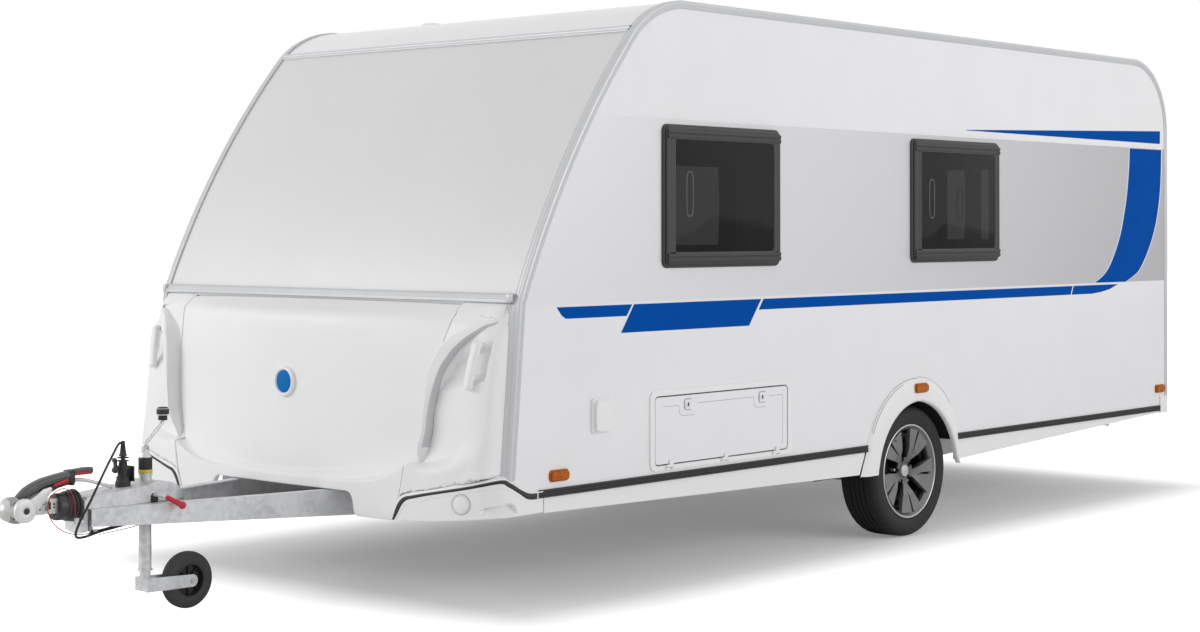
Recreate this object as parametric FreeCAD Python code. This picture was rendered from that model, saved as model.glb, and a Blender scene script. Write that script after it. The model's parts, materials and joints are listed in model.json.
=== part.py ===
"""Single-axle touring caravan, modelled at full size in millimetres.

Frame: +Z up, the drawbar points along -Y, +X is the caravan's left side (the side without a door).
Stations are measured from the axle, positive towards the tail, and export() moves everything by AXLE_Y,
so that the origin ends up at the middle of the footprint, at floor level.
"""
import FreeCAD, Part
import math
import os

V = FreeCAD.Vector

# ---------------------------------------------------------------- driving dimensions
BODY_WIDTH = 2320            # over the outer faces of the side walls
HALF = BODY_WIDTH / 2
WALL = 31                    # sandwich wall and roof thickness
INNER = HALF - WALL
ROOF_Z = 2520
COUPLING_TIP = -4440         # foremost station
TAIL = 2750                  # rearmost station
AXLE_Y = -(COUPLING_TIP + TAIL) / 2
FLOOR_Z = 458                # underside of the floor, on top of the chassis
FLOOR_THICK = 42
WALL_FOOT = 490              # lower edge of the side walls
RAIL_LINE = 460              # lower edge of the rub strip
NOSE_Z = 1245                # joint between the upper front wall and the locker

# side profile of the body: stations and heights of its joints
NOSE_FOOT = (-2905, WALL_FOOT)
NOSE_KINK = (-2840, NOSE_Z)
NOSE_BELLY = (-2541, 1840)   # on the long front curve
NOSE_TOP = (-2148, 2378)
BROW = (-1998, 2479)         # on the small curve into the roof
ROOF_FRONT = (-1837, ROOF_Z)
TAIL_RADIUS = 400
TAIL_WALL = 2700             # outer face of the rear wall

# running gear
WHEEL_R = 326
TYRE_WIDTH = 215
RIM_FLANGE_R = 233
BEAD_R = 216
TRACK = 2040
WHEEL_X = TRACK / 2
ARCH_CUT_R = 400             # cut-out in wall, floor and skirt
ARCH_INNER_R = 350
ARCH_OUTER_R = 476
HOUSING_X = 858              # inner wall of the wheel housing

# chassis
MEMBER_TOP = FLOOR_Z
MEMBER_WIDE = 46
MEMBER_PLATE = 5
DRAWBAR_FRONT = -4095
KINK_STATION = -1430
MEMBER_FRONT_X = 88          # outer face of a member at the front
MEMBER_KINK_X = 700          # outer face where the members turn parallel
MEMBER_REAR = 2350

JOCKEY_STATION = -3785
JOCKEY_R = 115
JOCKEY_TRAIL = 203

os.makedirs("parts", exist_ok=True)


# ---------------------------------------------------------------- small tools
def box(x0, x1, y0, y1, z0, z1):
    return Part.makeBox(x1 - x0, y1 - y0, z1 - z0, V(x0, y0, z0))


def mirrored(shape):
    return shape.mirror(V(0, 0, 0), V(1, 0, 0))


def both(shape):
    """A left piece and its mirror image on the right, as two solids."""
    return Part.makeCompound([shape, mirrored(shape)])


def wire_of(points, closed=True):
    """Straight runs through points. A point given as ("arc", p, q) bends the run through p to q."""
    edges, here = [], points[0]
    rest = points[1:] + ([points[0]] if closed else [])
    for item in rest:
        if item[0] == "arc":
            edges.append(Part.Arc(here, item[1], item[2]).toShape())
            here = item[2]
        elif here.distanceToPoint(item) > 1e-6:
            edges.append(Part.LineSegment(here, item).toShape())
            here = item
    return Part.Wire(edges)


def flat(points, place):
    """Lifts (a, b) pairs into 3-D with place(a, b), arcs included."""
    out = []
    for item in points:
        if item[0] == "arc":
            out.append(("arc", place(*item[1]), place(*item[2])))
        else:
            out.append(place(*item))
    return out


def side_prism(points, x0, x1):
    """Outline of (station, height) pairs, extruded across the caravan."""
    face = Part.Face(wire_of(flat(points, lambda s, z: V(x0, s, z))))
    return face.extrude(V(x1 - x0, 0, 0))


def front_prism(points, s0, s1):
    """Outline of (x, height) pairs, extruded along the caravan."""
    face = Part.Face(wire_of(flat(points, lambda x, z: V(x, s0, z))))
    return face.extrude(V(0, s1 - s0, 0))


def plan_prism(points, z0, z1):
    """Outline of (x, station) pairs, extruded upwards."""
    face = Part.Face(wire_of(flat(points, lambda x, s: V(x, s, z0))))
    return face.extrude(V(0, 0, z1 - z0))


def rounded(a0, a1, b0, b1, r):
    """A rounded rectangle as outline points for the prisms above."""
    k = r * (1 - math.sqrt(0.5))
    return [(a0 + r, b0), (a1 - r, b0), ("arc", (a1 - k, b0 + k), (a1, b0 + r)),
            (a1, b1 - r), ("arc", (a1 - k, b1 - k), (a1 - r, b1)),
            (a0 + r, b1), ("arc", (a0 + k, b1 - k), (a0, b1 - r)),
            (a0, b0 + r), ("arc", (a0 + k, b0 + k), (a0 + r, b0))]


def tube(p, q, r, bore=0):
    axis = q.sub(p)
    shape = Part.makeCylinder(r, axis.Length, p, axis)
    if bore:
        shape = shape.cut(Part.makeCylinder(bore, axis.Length, p, axis))
    return shape


def rod(points, r, bend):
    """A bent rod: straight runs joined by arcs of radius bend."""
    edges, here = [], points[0]
    for before, corner, after in zip(points, points[1:], points[2:]):
        u = before.sub(corner).normalize()
        w = after.sub(corner).normalize()
        half_turn = (math.pi - u.getAngle(w)) / 2
        reach = bend * math.tan(half_turn)
        start, end = corner + u * reach, corner + w * reach
        towards = (u + w).normalize()
        middle = corner + towards * (bend / math.cos(half_turn) - bend)
        edges.append(Part.LineSegment(here, start).toShape())
        edges.append(Part.Arc(start, middle, end).toShape())
        here = end
    edges.append(Part.LineSegment(here, points[-1]).toShape())
    path = Part.Wire(edges)
    section = Part.Wire(Part.makeCircle(r, points[0], points[1].sub(points[0])))
    return path.makePipeShell([section], True, False)


def lathe(points, centre, axis):
    """Turns an outline of (radius, along) pairs about an axis through centre."""
    side = V(0, 0, 1) if abs(axis.z) < 0.9 else V(1, 0, 0)
    place = lambda r, a: centre + side * r + axis * a
    face = Part.Face(wire_of(flat(points, place)))
    return face.revolve(centre, axis, 360)


def largest(shape):
    """The biggest solid of a shape, without the scraps that a cut leaves."""
    return max(shape.Solids, key=lambda solid: solid.Volume)


def fitted(shape, neighbour):
    """Each solid of a shape, cut to sit against its neighbour."""
    return Part.makeCompound([largest(solid.cut(neighbour)) for solid in shape.Solids])


def export(name, shape):
    solids = shape.Solids
    moved = Part.makeCompound(solids) if len(solids) > 1 else solids[0]
    moved = moved.copy()
    moved.translate(V(0, AXLE_Y, 0))
    assert moved.isValid(), name
    moved.exportStep("parts/%s.step" % name)
    size = moved.optimalBoundingBox(False)
    print("%-22s solids %2d  x %6.0f..%5.0f  y %6.0f..%5.0f  z %5.0f..%5.0f" % (
        name, len(solids), size.XMin, size.XMax, size.YMin, size.YMax, size.ZMin, size.ZMax))


# ---------------------------------------------------------------- body shell
def body_outline():
    """Closed side profile: foot of the nose, front curve, roof, tail and back along the floor."""
    tail_bend = TAIL_RADIUS * (1 - math.sqrt(0.5))
    return [NOSE_FOOT, NOSE_KINK, ("arc", NOSE_BELLY, NOSE_TOP), ("arc", BROW, ROOF_FRONT),
            (TAIL_WALL - TAIL_RADIUS, ROOF_Z),
            ("arc", (TAIL_WALL - tail_bend, ROOF_Z - tail_bend), (TAIL_WALL, ROOF_Z - TAIL_RADIUS)),
            (TAIL_WALL, WALL_FOOT)]


def body_face(x, grow=0.0):
    """The side profile as a face at x, grown outwards or shrunk inwards."""
    wire = wire_of(flat(body_outline(), lambda s, z: V(x, s, z)))
    if grow:
        wire = wire.makeOffset2D(grow, 2)
    return Part.Face(wire)


def body_slab(x0, x1, grow=0.0):
    return body_face(x0, grow).extrude(V(x1 - x0, 0, 0))


# windows: side, first station, last station, sill, head
WINDOW_HEAD = 1986
WINDOW_SILL = 1369
WINDOWS = [
    ("left", -1972, -1145), ("left", -57, 770),
    ("right", -2270, -1650), ("right", 620, 1447),
]
WINDOW_LAP = 26              # how far the frame laps over the wall all round
REAR_WINDOW = (-450, 450, 1400, 1980)
DOOR = (-1390, -770, 512, 2290)          # stations and heights of the doorway, right side
FLAP = (-2036, -1067, 516, 832)          # stations and heights of the service flap, left side


def wall_cut(side, s0, s1, z0, z1, r):
    """A rounded hole through one side wall."""
    x0, x1 = (INNER - 5, HALF + 5) if side == "left" else (-HALF - 5, -INNER + 5)
    return side_prism(rounded(s0, s1, z0, z1, r), x0, x1)


def side_wall(side):
    x0, x1 = (INNER, HALF) if side == "left" else (-HALF, -INNER)
    wall = body_slab(x0, x1)
    for name, s0, s1 in WINDOWS:
        if name == side:
            wall = wall.cut(wall_cut(side, s0 + WINDOW_LAP, s1 - WINDOW_LAP,
                                     WINDOW_SILL + WINDOW_LAP, WINDOW_HEAD - WINDOW_LAP, 40))
    if side == "left":
        wall = wall.cut(wall_cut(side, *FLAP, 24))
    else:
        wall = wall.cut(wall_cut(side, *DOOR, 60))
    arch = Part.makeCylinder(ARCH_CUT_R, WALL + 10, V(x0 - 5, 0, WHEEL_R), V(1, 0, 0))
    return wall.cut(arch)


def shell_ring():
    """Front wall, roof and rear wall in one piece, between the side walls."""
    outer = body_slab(-INNER, INNER)
    inner = body_slab(-INNER, INNER, -WALL)
    below = box(-HALF, HALF, -3000, 2800, 0, WALL_FOOT + WALL + 1)
    return outer.cut(inner), below


def make_shell():
    ring, below = shell_ring()
    front = ring.common(box(-HALF, HALF, -3200, NOSE_TOP[0], NOSE_Z + 2, NOSE_TOP[1]))
    tail_top = ROOF_Z - TAIL_RADIUS
    roof = ring.common(box(-HALF, HALF, NOSE_TOP[0] - 200, 3000, tail_top, 3000))
    roof = roof.cut(box(-HALF, HALF, -3200, NOSE_TOP[0], 0, NOSE_TOP[1]))
    for s0, s1, x0, x1 in ROOF_HATCHES:
        roof = roof.cut(plan_prism(rounded(x0 + 30, x1 - 30, s0 + 30, s1 - 30, 40),
                                   ROOF_Z - 60, ROOF_Z + 10))
    rear = ring.common(box(-HALF, HALF, 2000, 3000, WALL_FOOT, tail_top))
    rear = rear.cut(box(-HALF, HALF, 0, TAIL_WALL - WALL, 0, 3000))
    x0, x1, z0, z1 = REAR_WINDOW
    rear = rear.cut(front_prism(rounded(x0 + WINDOW_LAP, x1 - WINDOW_LAP, z0 + WINDOW_LAP,
                                        z1 - WINDOW_LAP, 40), TAIL_WALL - 60, TAIL_WALL + 10))
    return front, roof, rear


ROOF_HATCHES = [(-1500, -800, -350, 350), (700, 1120, -210, 210)]


def make_floor():
    """Floor plate with its rounded front in the gas locker and the notches for the wheel housings."""
    floor = box(-INNER, INNER, -2868, TAIL_WALL - WALL, FLOOR_Z, FLOOR_Z + FLOOR_THICK)
    front = plan_prism([(-1040, -2868), (-690, -3020), ("arc", (0, -3054), (690, -3020)), (1040, -2868)],
                       FLOOR_Z, FLOOR_Z + FLOOR_THICK)
    floor = floor.fuse(front).removeSplitter()
    notch = box(HOUSING_X, INNER + 1, -ARCH_CUT_R, ARCH_CUT_R, FLOOR_Z - 1, FLOOR_Z + FLOOR_THICK + 1)
    return floor.cut(notch).cut(mirrored(notch))


BULKHEAD = -2480


def make_bulkhead():
    """Wall and ceiling that part the gas locker from the living space."""
    upright = box(-INNER, INNER, BULKHEAD, BULKHEAD + WALL, FLOOR_Z + FLOOR_THICK, NOSE_Z + 2)
    ceiling = box(-INNER, INNER, -2797, BULKHEAD + WALL, NOSE_Z + 2, NOSE_Z + 2 + WALL)
    return upright.fuse(ceiling).removeSplitter()


def wheel_housing():
    """Half-round box over the left wheel, open below and at the arch."""
    skin = 18
    outer = Part.makeCylinder(ARCH_CUT_R, INNER - HOUSING_X, V(HOUSING_X, 0, WHEEL_R), V(1, 0, 0))
    inner = Part.makeCylinder(ARCH_CUT_R - skin, INNER - HOUSING_X, V(HOUSING_X + skin, 0, WHEEL_R),
                              V(1, 0, 0))
    shell = outer.cut(inner)
    return shell.common(box(HOUSING_X, INNER, -ARCH_CUT_R, ARCH_CUT_R, FLOOR_Z, 1000))


# ---------------------------------------------------------------- trims, skirts, arches
def edge_trim():
    """Aluminium edge rail along nose, roof and tail of the left side."""
    proud = 6
    face_part = body_slab(HALF, HALF + proud, proud).cut(body_slab(HALF - 1, HALF + proud + 1, -30))
    lap_part = body_slab(INNER - 9, HALF, proud).cut(body_slab(INNER - 10, HALF + 1))
    rail = face_part.fuse(lap_part)
    foot = side_prism([(-3300, 300), (-3300, 560), (-2880, 560), (-2700, 520), (2600, 520), (2660, 548),
                       (2900, 548), (2900, 300)], HALF - 100, HALF + 100)
    return rail.cut(foot)


def cross_trims():
    """The two rails across the front: under the roof cap and above the locker."""
    lower = side_prism([(-2853, NOSE_Z - 4), (-2868, NOSE_Z + 6), (-2850, NOSE_Z + 34),
                        (-2830, NOSE_Z + 34), (-2840, NOSE_Z), (-2825, NOSE_Z - 4)], -1110, 1110)
    slope = math.atan2(NOSE_TOP[1] - NOSE_BELLY[1], NOSE_TOP[0] - NOSE_BELLY[0]) - 0.05
    upper = box(-1110, 1110, -10, 24, 0, 9)
    upper.rotate(V(0, 0, 0), V(1, 0, 0), math.degrees(slope))
    upper.translate(V(0, NOSE_TOP[0], NOSE_TOP[1]))
    skin = body_slab(-INNER, INNER)
    return Part.makeCompound([lower.cut(skin), upper.cut(skin)])


def arch_cover():
    """Wheel arch moulding on the left side: a horseshoe, wider at its front leg."""
    hub = WHEEL_R
    outline = [(-492, 338), (-442, 452), ("arc", (-340, hub + 334), (0, hub + ARCH_OUTER_R)),
               ("arc", (252, hub + 378), (350, 560)), (372, 352), (310, 338), (330, 390),
               ("arc", (0, hub + ARCH_INNER_R), (-ARCH_INNER_R + 4, hub + 50)), (-352, 338)]
    cover = side_prism(outline, HALF, HALF + 22)
    back = Part.makeCylinder(ARCH_CUT_R - 3, 20, V(HALF - 20, 0, hub), V(1, 0, 0))
    back = back.cut(Part.makeCylinder(ARCH_INNER_R + 8, 20, V(HALF - 20, 0, hub), V(1, 0, 0)))
    back = back.common(box(0, 2000, -1000, 1000, 400, 1000))
    return cover.fuse(back)


SKIRT_BACK = HALF - 24


def skirt(front):
    """Side sill below the rub strip, deeper towards the wheel."""
    if front:
        points = [(-2700, RAIL_LINE + 30), (-2700, 397), (-494, 352), (-452, 440), (-440, RAIL_LINE + 30)]
    else:
        points = [(364, RAIL_LINE + 30), (374, 356), (2603, 447), (2603, RAIL_LINE + 30)]
    return side_prism(points, SKIRT_BACK, HALF - 2).cut(box(0, INNER, -3000, 3000, 0, 600))


def rub_strip(s0, s1):
    """Black ribbed strip along the floor line."""
    z0, z1 = RAIL_LINE, RAIL_LINE + 30
    outline = [(HALF, z0), (HALF + 7, z0), (HALF + 10, z0 + 5), (HALF + 7, z0 + 9), (HALF + 7, z0 + 12),
               (HALF + 10, z0 + 15), (HALF + 7, z0 + 18), (HALF + 7, z0 + 21), (HALF + 10, z0 + 25),
               (HALF + 7, z1), (HALF, z1)]
    return front_prism(outline, s0, s1)


# the front corner in plan, from the nose round to the side: x, station and outward direction
CORNER_CURVE = [
    (636, -3094, 0.00, -1.00),
    (900, -3068, 0.20, -0.98),
    (1090, -3008, 0.45, -0.89),
    (1143, -2962, 0.80, -0.60),
    (HALF + 6, -2860, 1.00, 0.00),
]
CORNER_BACK = -2700


def corner_line(out):
    """The curve moved outwards by out, as outline points."""
    p = [(x + nx * out, s + ns * out) for x, s, nx, ns in CORNER_CURVE]
    return [p[0], ("arc", p[1], p[2]), ("arc", p[3], p[4]), (p[4][0], CORNER_BACK)]


def corner_ring(out, depth):
    """Upright wall round the front corner: its outer face at out, depth thick."""
    p = [(x + nx * (out - depth), s + ns * (out - depth)) for x, s, nx, ns in CORNER_CURVE]
    inside = [(p[4][0], CORNER_BACK), p[4], ("arc", p[3], p[2]), ("arc", p[1], p[0])]
    return plan_prism(corner_line(out) + inside, 340, 570)


# top line of the corner cover seen from the front and from the side
CORNER_FRONT_TOP = [(632, 366), (722, 466), (1200, 560)]
CORNER_SIDE_TOP = [(-2905, 553), (-2782, 490), (CORNER_BACK, 490)]


def corner_region(drop_top, drop_bottom):
    """Space between two copies of the corner's top line, as front view and side view prisms."""
    front = front_prism([(x, z - drop_top) for x, z in CORNER_FRONT_TOP]
                        + [(x, z - drop_bottom) for x, z in reversed(CORNER_FRONT_TOP)], -3300, -2905)
    side = side_prism([(s, z - drop_top) for s, z in CORNER_SIDE_TOP]
                      + [(s, z - drop_bottom) for s, z in reversed(CORNER_SIDE_TOP)], 900, 1300)
    return front.fuse(side)


def corner_cover():
    ring = corner_ring(0, 20)
    bottom = front_prism([(500, 300), (500, 350), (1000, 372), (1200, 396), (1200, 300)], -3300, -2600)
    kept = ring.cut(bottom).common(corner_region(0, 260))
    slot = side_prism([(-2990, 404), (-2860, 424), (-2860, 446), (-2990, 428)], 1104, 1300)
    cap = Part.makeCylinder(44, 40, V(985, -3062, 432), V(0.28, 0.96, 0))
    return largest(kept.cut(slot).fuse(cap.cut(corner_ring(0, 200)).common(corner_ring(4, 6))))


def corner_strip():
    ring = corner_ring(5, 5)
    return largest(ring.common(corner_region(14, 38)))


def rear_corner():
    """Rear bumper moulding with its wrapped corners."""
    r = 70
    k = r * (1 - math.sqrt(0.5))
    out, back = HALF + 8, TAIL
    outline = [(0, back), (out - r, back), ("arc", (out - k, back - k), (out, back - r)), (out, 2604),
               (out - 22, 2604), (out - 22, TAIL_WALL), (0, TAIL_WALL)]
    half = plan_prism(outline, 437, 545)
    lower = side_prism([(2500, 400), (2500, 452), (2760, 437), (2760, 400)], 0, 1300)
    half = half.cut(lower)
    return half.fuse(mirrored(half)).removeSplitter()


# ---------------------------------------------------------------- locker moulding and lid
# plan sections of the locker front, from the bottom up: height, station at the middle, shoulder point,
# a point on the way round the corner, and the station at the edge
LOCKER_SECTIONS = [
    (456, -3092, (724, -3062), (1020, -3030), -2930),
    (620, -3086, (776, -3010), (1052, -3006), -2898),
    (890, -3068, (848, -2988), (1072, -2966), -2876),
    (1184, -3070, (877, -2933), (1084, -2903), -2846),
    (1238, -2868, (1000, -2858), (1080, -2850), -2842),
]
LOCKER_EDGE = 1128
LOCKER_BACK = -2700
LOCKER_SKIN = 16
LOCKER_FOOT = 456
SHELF_Z = 1222               # underside of the closed top behind the lid
LID_HINGE = (-2876, 1222)    # station and height of the lid's hinge line
LID_BACK = -2880             # rear edge of the lid
LID_GAP = 6
HINGE_PIN_R = 5
LIP_TOP = [(-760, 604), (0, 524), (760, 604)]     # three points on the lip's upper edge
LIP_PLAN = [(-748, -3084), (0, -3112), (748, -3084)]


def locker_wire(z, middle, shoulder, bend, edge, shrink):
    """One plan section: a shallow arc in the middle, a tighter one at each shoulder."""
    sx, sy = shoulder
    bx, by = bend
    pts = [V(-LOCKER_EDGE, edge + shrink, z),
           ("arc", V(-bx, by + shrink, z), V(-sx, sy + shrink, z)),
           ("arc", V(0, middle + shrink, z), V(sx, sy + shrink, z)),
           ("arc", V(bx, by + shrink, z), V(LOCKER_EDGE, edge + shrink, z)),
           V(LOCKER_EDGE, LOCKER_BACK, z), V(-LOCKER_EDGE, LOCKER_BACK, z)]
    return wire_of(pts)


def locker_block(shrink=0.0):
    return Part.makeLoft([locker_wire(*section, shrink) for section in LOCKER_SECTIONS], True, True)


def lid_outline(gap=0.0):
    """The lid seen from the front; gap grows it all round."""
    g = gap
    half = [(866 + g, 1300), (866 + g, 1226), (877 + g, 1188), (846 + g, 1068), (846 + g, 849), (830 + g, 740),
            (773 + g, 622), (744 + g, 588), (733 + g, 530), (722 + g, 462 - g)]
    return half + [(-x, z) for x, z in reversed(half)]


def lip_block(inset):
    """Bumper-like lip along the lid's foot, from its front face back to the locker's inside."""
    left, middle, right = [(x, s + inset) for x, s in LIP_PLAN]
    plan = [left, ("arc", middle, right), (748, -3000), (-748, -3000)]
    smile = [LIP_TOP[0], ("arc", LIP_TOP[1], LIP_TOP[2]), (760, LOCKER_FOOT), (-760, LOCKER_FOOT)]
    return plan_prism(plan, LOCKER_FOOT, 620).common(front_prism(smile, -3300, -2900))


# the lower shoulder goes on from the lip to the corner: plan at its foot and at its top, and its top line
SHOULDER_FOOT = [(738, -3092), (860, -3058), (1000, -3040), (1100, -3002), (1128, -2925)]
SHOULDER_HEAD = [(738, -3062), (860, -3014), (1000, -2999), (1100, -2976), (1128, -2890)]
SHOULDER_TOP = 735
SHOULDER_LINE = [(738, 592), (860, 607), (960, 660), (1030, SHOULDER_TOP), (1128, SHOULDER_TOP)]


def lower_shoulder():
    wires = []
    for z, front in ((LOCKER_FOOT, SHOULDER_FOOT), (SHOULDER_TOP, SHOULDER_HEAD)):
        back = [(front[-1][0], -2800), (front[0][0], -2800)]
        wires.append(Part.makePolygon([V(x, s, z) for x, s in front + back + front[:1]]))
    block = Part.makeLoft(wires, True, True)
    view = SHOULDER_LINE + [(1128, LOCKER_FOOT), (738, LOCKER_FOOT)]
    return block.common(front_prism(view, -3300, -2700))


def make_locker():
    hollow = locker_block(LOCKER_SKIN).cut(box(-2000, 2000, -4000, 0, SHELF_Z, 1400))
    skin = locker_block().cut(hollow)
    skin = skin.fuse(lip_block(0).cut(lip_block(LOCKER_SKIN)).cut(hollow))
    lid = skin.common(front_prism(lid_outline(), -3300, LID_BACK))
    shoulder = lower_shoulder().cut(hollow)
    frame = skin.fuse(shoulder).fuse(mirrored(shoulder)).cut(front_prism(lid_outline(LID_GAP), -3300, LID_BACK + 6))
    half = 840
    ends = (V(-half, *LID_HINGE), V(half, *LID_HINGE))
    frame = frame.cut(tube(V(-890, *LID_HINGE), V(890, *LID_HINGE), 18)).fuse(tube(*ends, HINGE_PIN_R))
    lid = lid.cut(tube(V(-900, *LID_HINGE), V(900, *LID_HINGE), HINGE_PIN_R + 3))
    for x in (12 - half, -300, 300, half - 12):
        bracket = box(x - 12, x + 12, LID_HINGE[0], LID_HINGE[0] + 24, 1214, 1223)
        frame = frame.fuse(bracket)
        lid = lid.cut(box(x - 20, x + 20, LID_HINGE[0] - 24, LID_HINGE[0] + 10, 1190, 1230))
    for x in (-600, 0, 600):
        lid = lid.fuse(tube(V(x - 40, *LID_HINGE), V(x + 40, *LID_HINGE), 11, HINGE_PIN_R + 0.05))
    # the corner covers and the drawbar have their own space below the moulding
    frame = frame.cut(box(-466, 466, -3300, -2600, 300, 480))
    corner_space = front_prism([(500, 300), (632, 366), (722, 466), (1200, 560), (1300, 300)], -3300, -2500)
    frame = frame.cut(corner_space).cut(mirrored(corner_space))
    return largest(lid), largest(frame)


# the raised eyebrow on the left shoulder, from its foot up: height, and x and station of its inner base,
# its crest and its outer base
FIN_SECTIONS = [
    (600, (779, -3004), (788, -3014), (796, -3004)),
    (640, (792, -3004), (801, -3038), (806, -3000)),
    (720, (832, -2998), (840, -3042), (846, -2999)),
    (790, (848, -2994), (854, -3046), (862, -2996)),
    (945, (860, -2980), (884, -3032), (896, -2980)),
    (1050, (900, -2960), (940, -3002), (954, -2956)),
    (1134, (972, -2930), (1017, -2950), (1034, -2922)),
    (1180, (1060, -2896), (1098, -2898), (1108, -2880)),
]


def fin():
    wires = []
    for z, inner, crest, outer in FIN_SECTIONS:
        back = ((inner[0] + outer[0]) / 2, max(inner[1], outer[1]) + 14)
        corners = [V(x, s, z) for x, s in (inner, crest, outer, back)]
        wires.append(wire_of(corners))
    return Part.makeLoft(wires, True, True)


# pocket behind the handle bar, seen from the front
POCKET = [(952, 1043), (1078, 1098), (1047, 931), (949, 900), (880, 892)]
POCKET_DEPTH = 11
HANDLE_TOP = V(1047, -2962, 1086)
HANDLE_FOOT = V(993, -2990, 892)
HANDLE_R = 15


def pocket():
    band = locker_block().cut(locker_block(POCKET_DEPTH))
    return band.common(front_prism(POCKET, -3300, -2700))


def grab_handle():
    """Handle bar on the left shoulder, standing on two feet over its pocket."""
    bar = tube(HANDLE_TOP, HANDLE_FOOT, HANDLE_R)
    for end in (HANDLE_TOP, HANDLE_FOOT):
        bar = bar.fuse(Part.makeSphere(HANDLE_R, end))
        bar = bar.fuse(tube(end, end + V(0, 48, 0), HANDLE_R - 2))
    return bar


# ---------------------------------------------------------------- windows, door, flap
def window_frame(side, s0, s1, z0, z1):
    lap = side_prism(rounded(s0, s1, z0, z1, 34), HALF, HALF + 14)
    hole = side_prism(rounded(s0 + 40, s1 - 40, z0 + 40, z1 - 40, 30), 1000, 1300)
    liner = side_prism(rounded(s0 + 27, s1 - 27, z0 + 27, z1 - 27, 39), INNER, HALF)
    frame = lap.fuse(liner).cut(hole).removeSplitter()
    return frame if side == "left" else mirrored(frame)


def window_pane(side, s0, s1, z0, z1):
    pane = side_prism(rounded(s0 + 12, s1 - 12, z0 + 14, z1 - 10, 30), HALF + 14, HALF + 26)
    return pane if side == "left" else mirrored(pane)


def rear_window():
    x0, x1, z0, z1 = REAR_WINDOW
    lap = front_prism(rounded(x0, x1, z0, z1, 34), TAIL_WALL, TAIL_WALL + 14)
    hole = front_prism(rounded(x0 + 40, x1 - 40, z0 + 40, z1 - 40, 30), 2500, 2800)
    liner = front_prism(rounded(x0 + 27, x1 - 27, z0 + 27, z1 - 27, 39), TAIL_WALL - WALL, TAIL_WALL)
    pane = front_prism(rounded(x0 + 12, x1 - 12, z0 + 14, z1 - 10, 30), TAIL_WALL + 14, TAIL_WALL + 26)
    return lap.fuse(liner).cut(hole).removeSplitter(), pane


def make_windows():
    frames = [window_frame(side, s0, s1, WINDOW_SILL, WINDOW_HEAD) for side, s0, s1 in WINDOWS]
    panes = [window_pane(side, s0, s1, WINDOW_SILL, WINDOW_HEAD) for side, s0, s1 in WINDOWS]
    frame, pane = rear_window()
    return Part.makeCompound(frames + [frame]), Part.makeCompound(panes + [pane])


DOOR_GAP = 6
DOOR_PANELS = [(600, 1120)]  # pressed panels of the door: lower and upper edges
DOOR_HINGE = (-HALF - 14, DOOR[0] + 10)       # x and station of the hinge line, at the door's front edge
DOOR_HINGES = (760, 1400, 2050)               # heights of the hinges' middles
FLAP_HINGE = (HALF + 12, FLAP[2] + 4)         # x and height of the flap's hinge line
FLAP_HINGES = (-1930, -1551, -1175)           # stations of the hinges' middles
FLAP_LATCHES = [(-1801, 776), (-1273, 776)]   # stations and heights
KNUCKLE_R = 7
PIN_R = 3.5
KNUCKLE_LENGTH = 24
PLATE_REACH = 11             # how far a hinge plate reaches in from the hinge line


def hinge(middle, along, to_frame, to_leaf, out):
    """One hinge: the frame's knuckle with its pin, and the leaf's bored knuckle beside it.

    along is the hinge line's direction, to_frame and to_leaf point from the line to where each
    knuckle's plate ends, and out is the direction away from the body."""
    step = along * KNUCKLE_LENGTH
    start = middle - step
    frame_part = Part.makeCylinder(KNUCKLE_R, KNUCKLE_LENGTH, start, along)
    frame_part = frame_part.fuse(Part.makeCylinder(PIN_R, 2 * KNUCKLE_LENGTH, start, along))
    leaf_part = Part.makeCylinder(KNUCKLE_R, KNUCKLE_LENGTH - 0.5, middle + along * 0.5, along)
    plates = []
    for first, reach in ((start, to_frame), (middle + along * 0.5, to_leaf)):
        corners = [first, first + along * (KNUCKLE_LENGTH - 0.5)]
        corners += [corners[1] + reach, corners[0] + reach]
        face = Part.Face(wire_of(corners))
        plates.append(face.extrude(out * -PLATE_REACH))
    frame_part = frame_part.fuse(plates[0])
    bore = Part.makeCylinder(PIN_R + 0.05, 2 * KNUCKLE_LENGTH, middle, along)
    leaf_part = leaf_part.fuse(plates[1]).cut(bore)
    return frame_part, leaf_part


def knuckle_room(middle, along):
    """Space that the leaf's knuckle and plate need in the frame while they turn."""
    return Part.makeCylinder(PLATE_REACH + 2, KNUCKLE_LENGTH + 1, middle, along)


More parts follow.
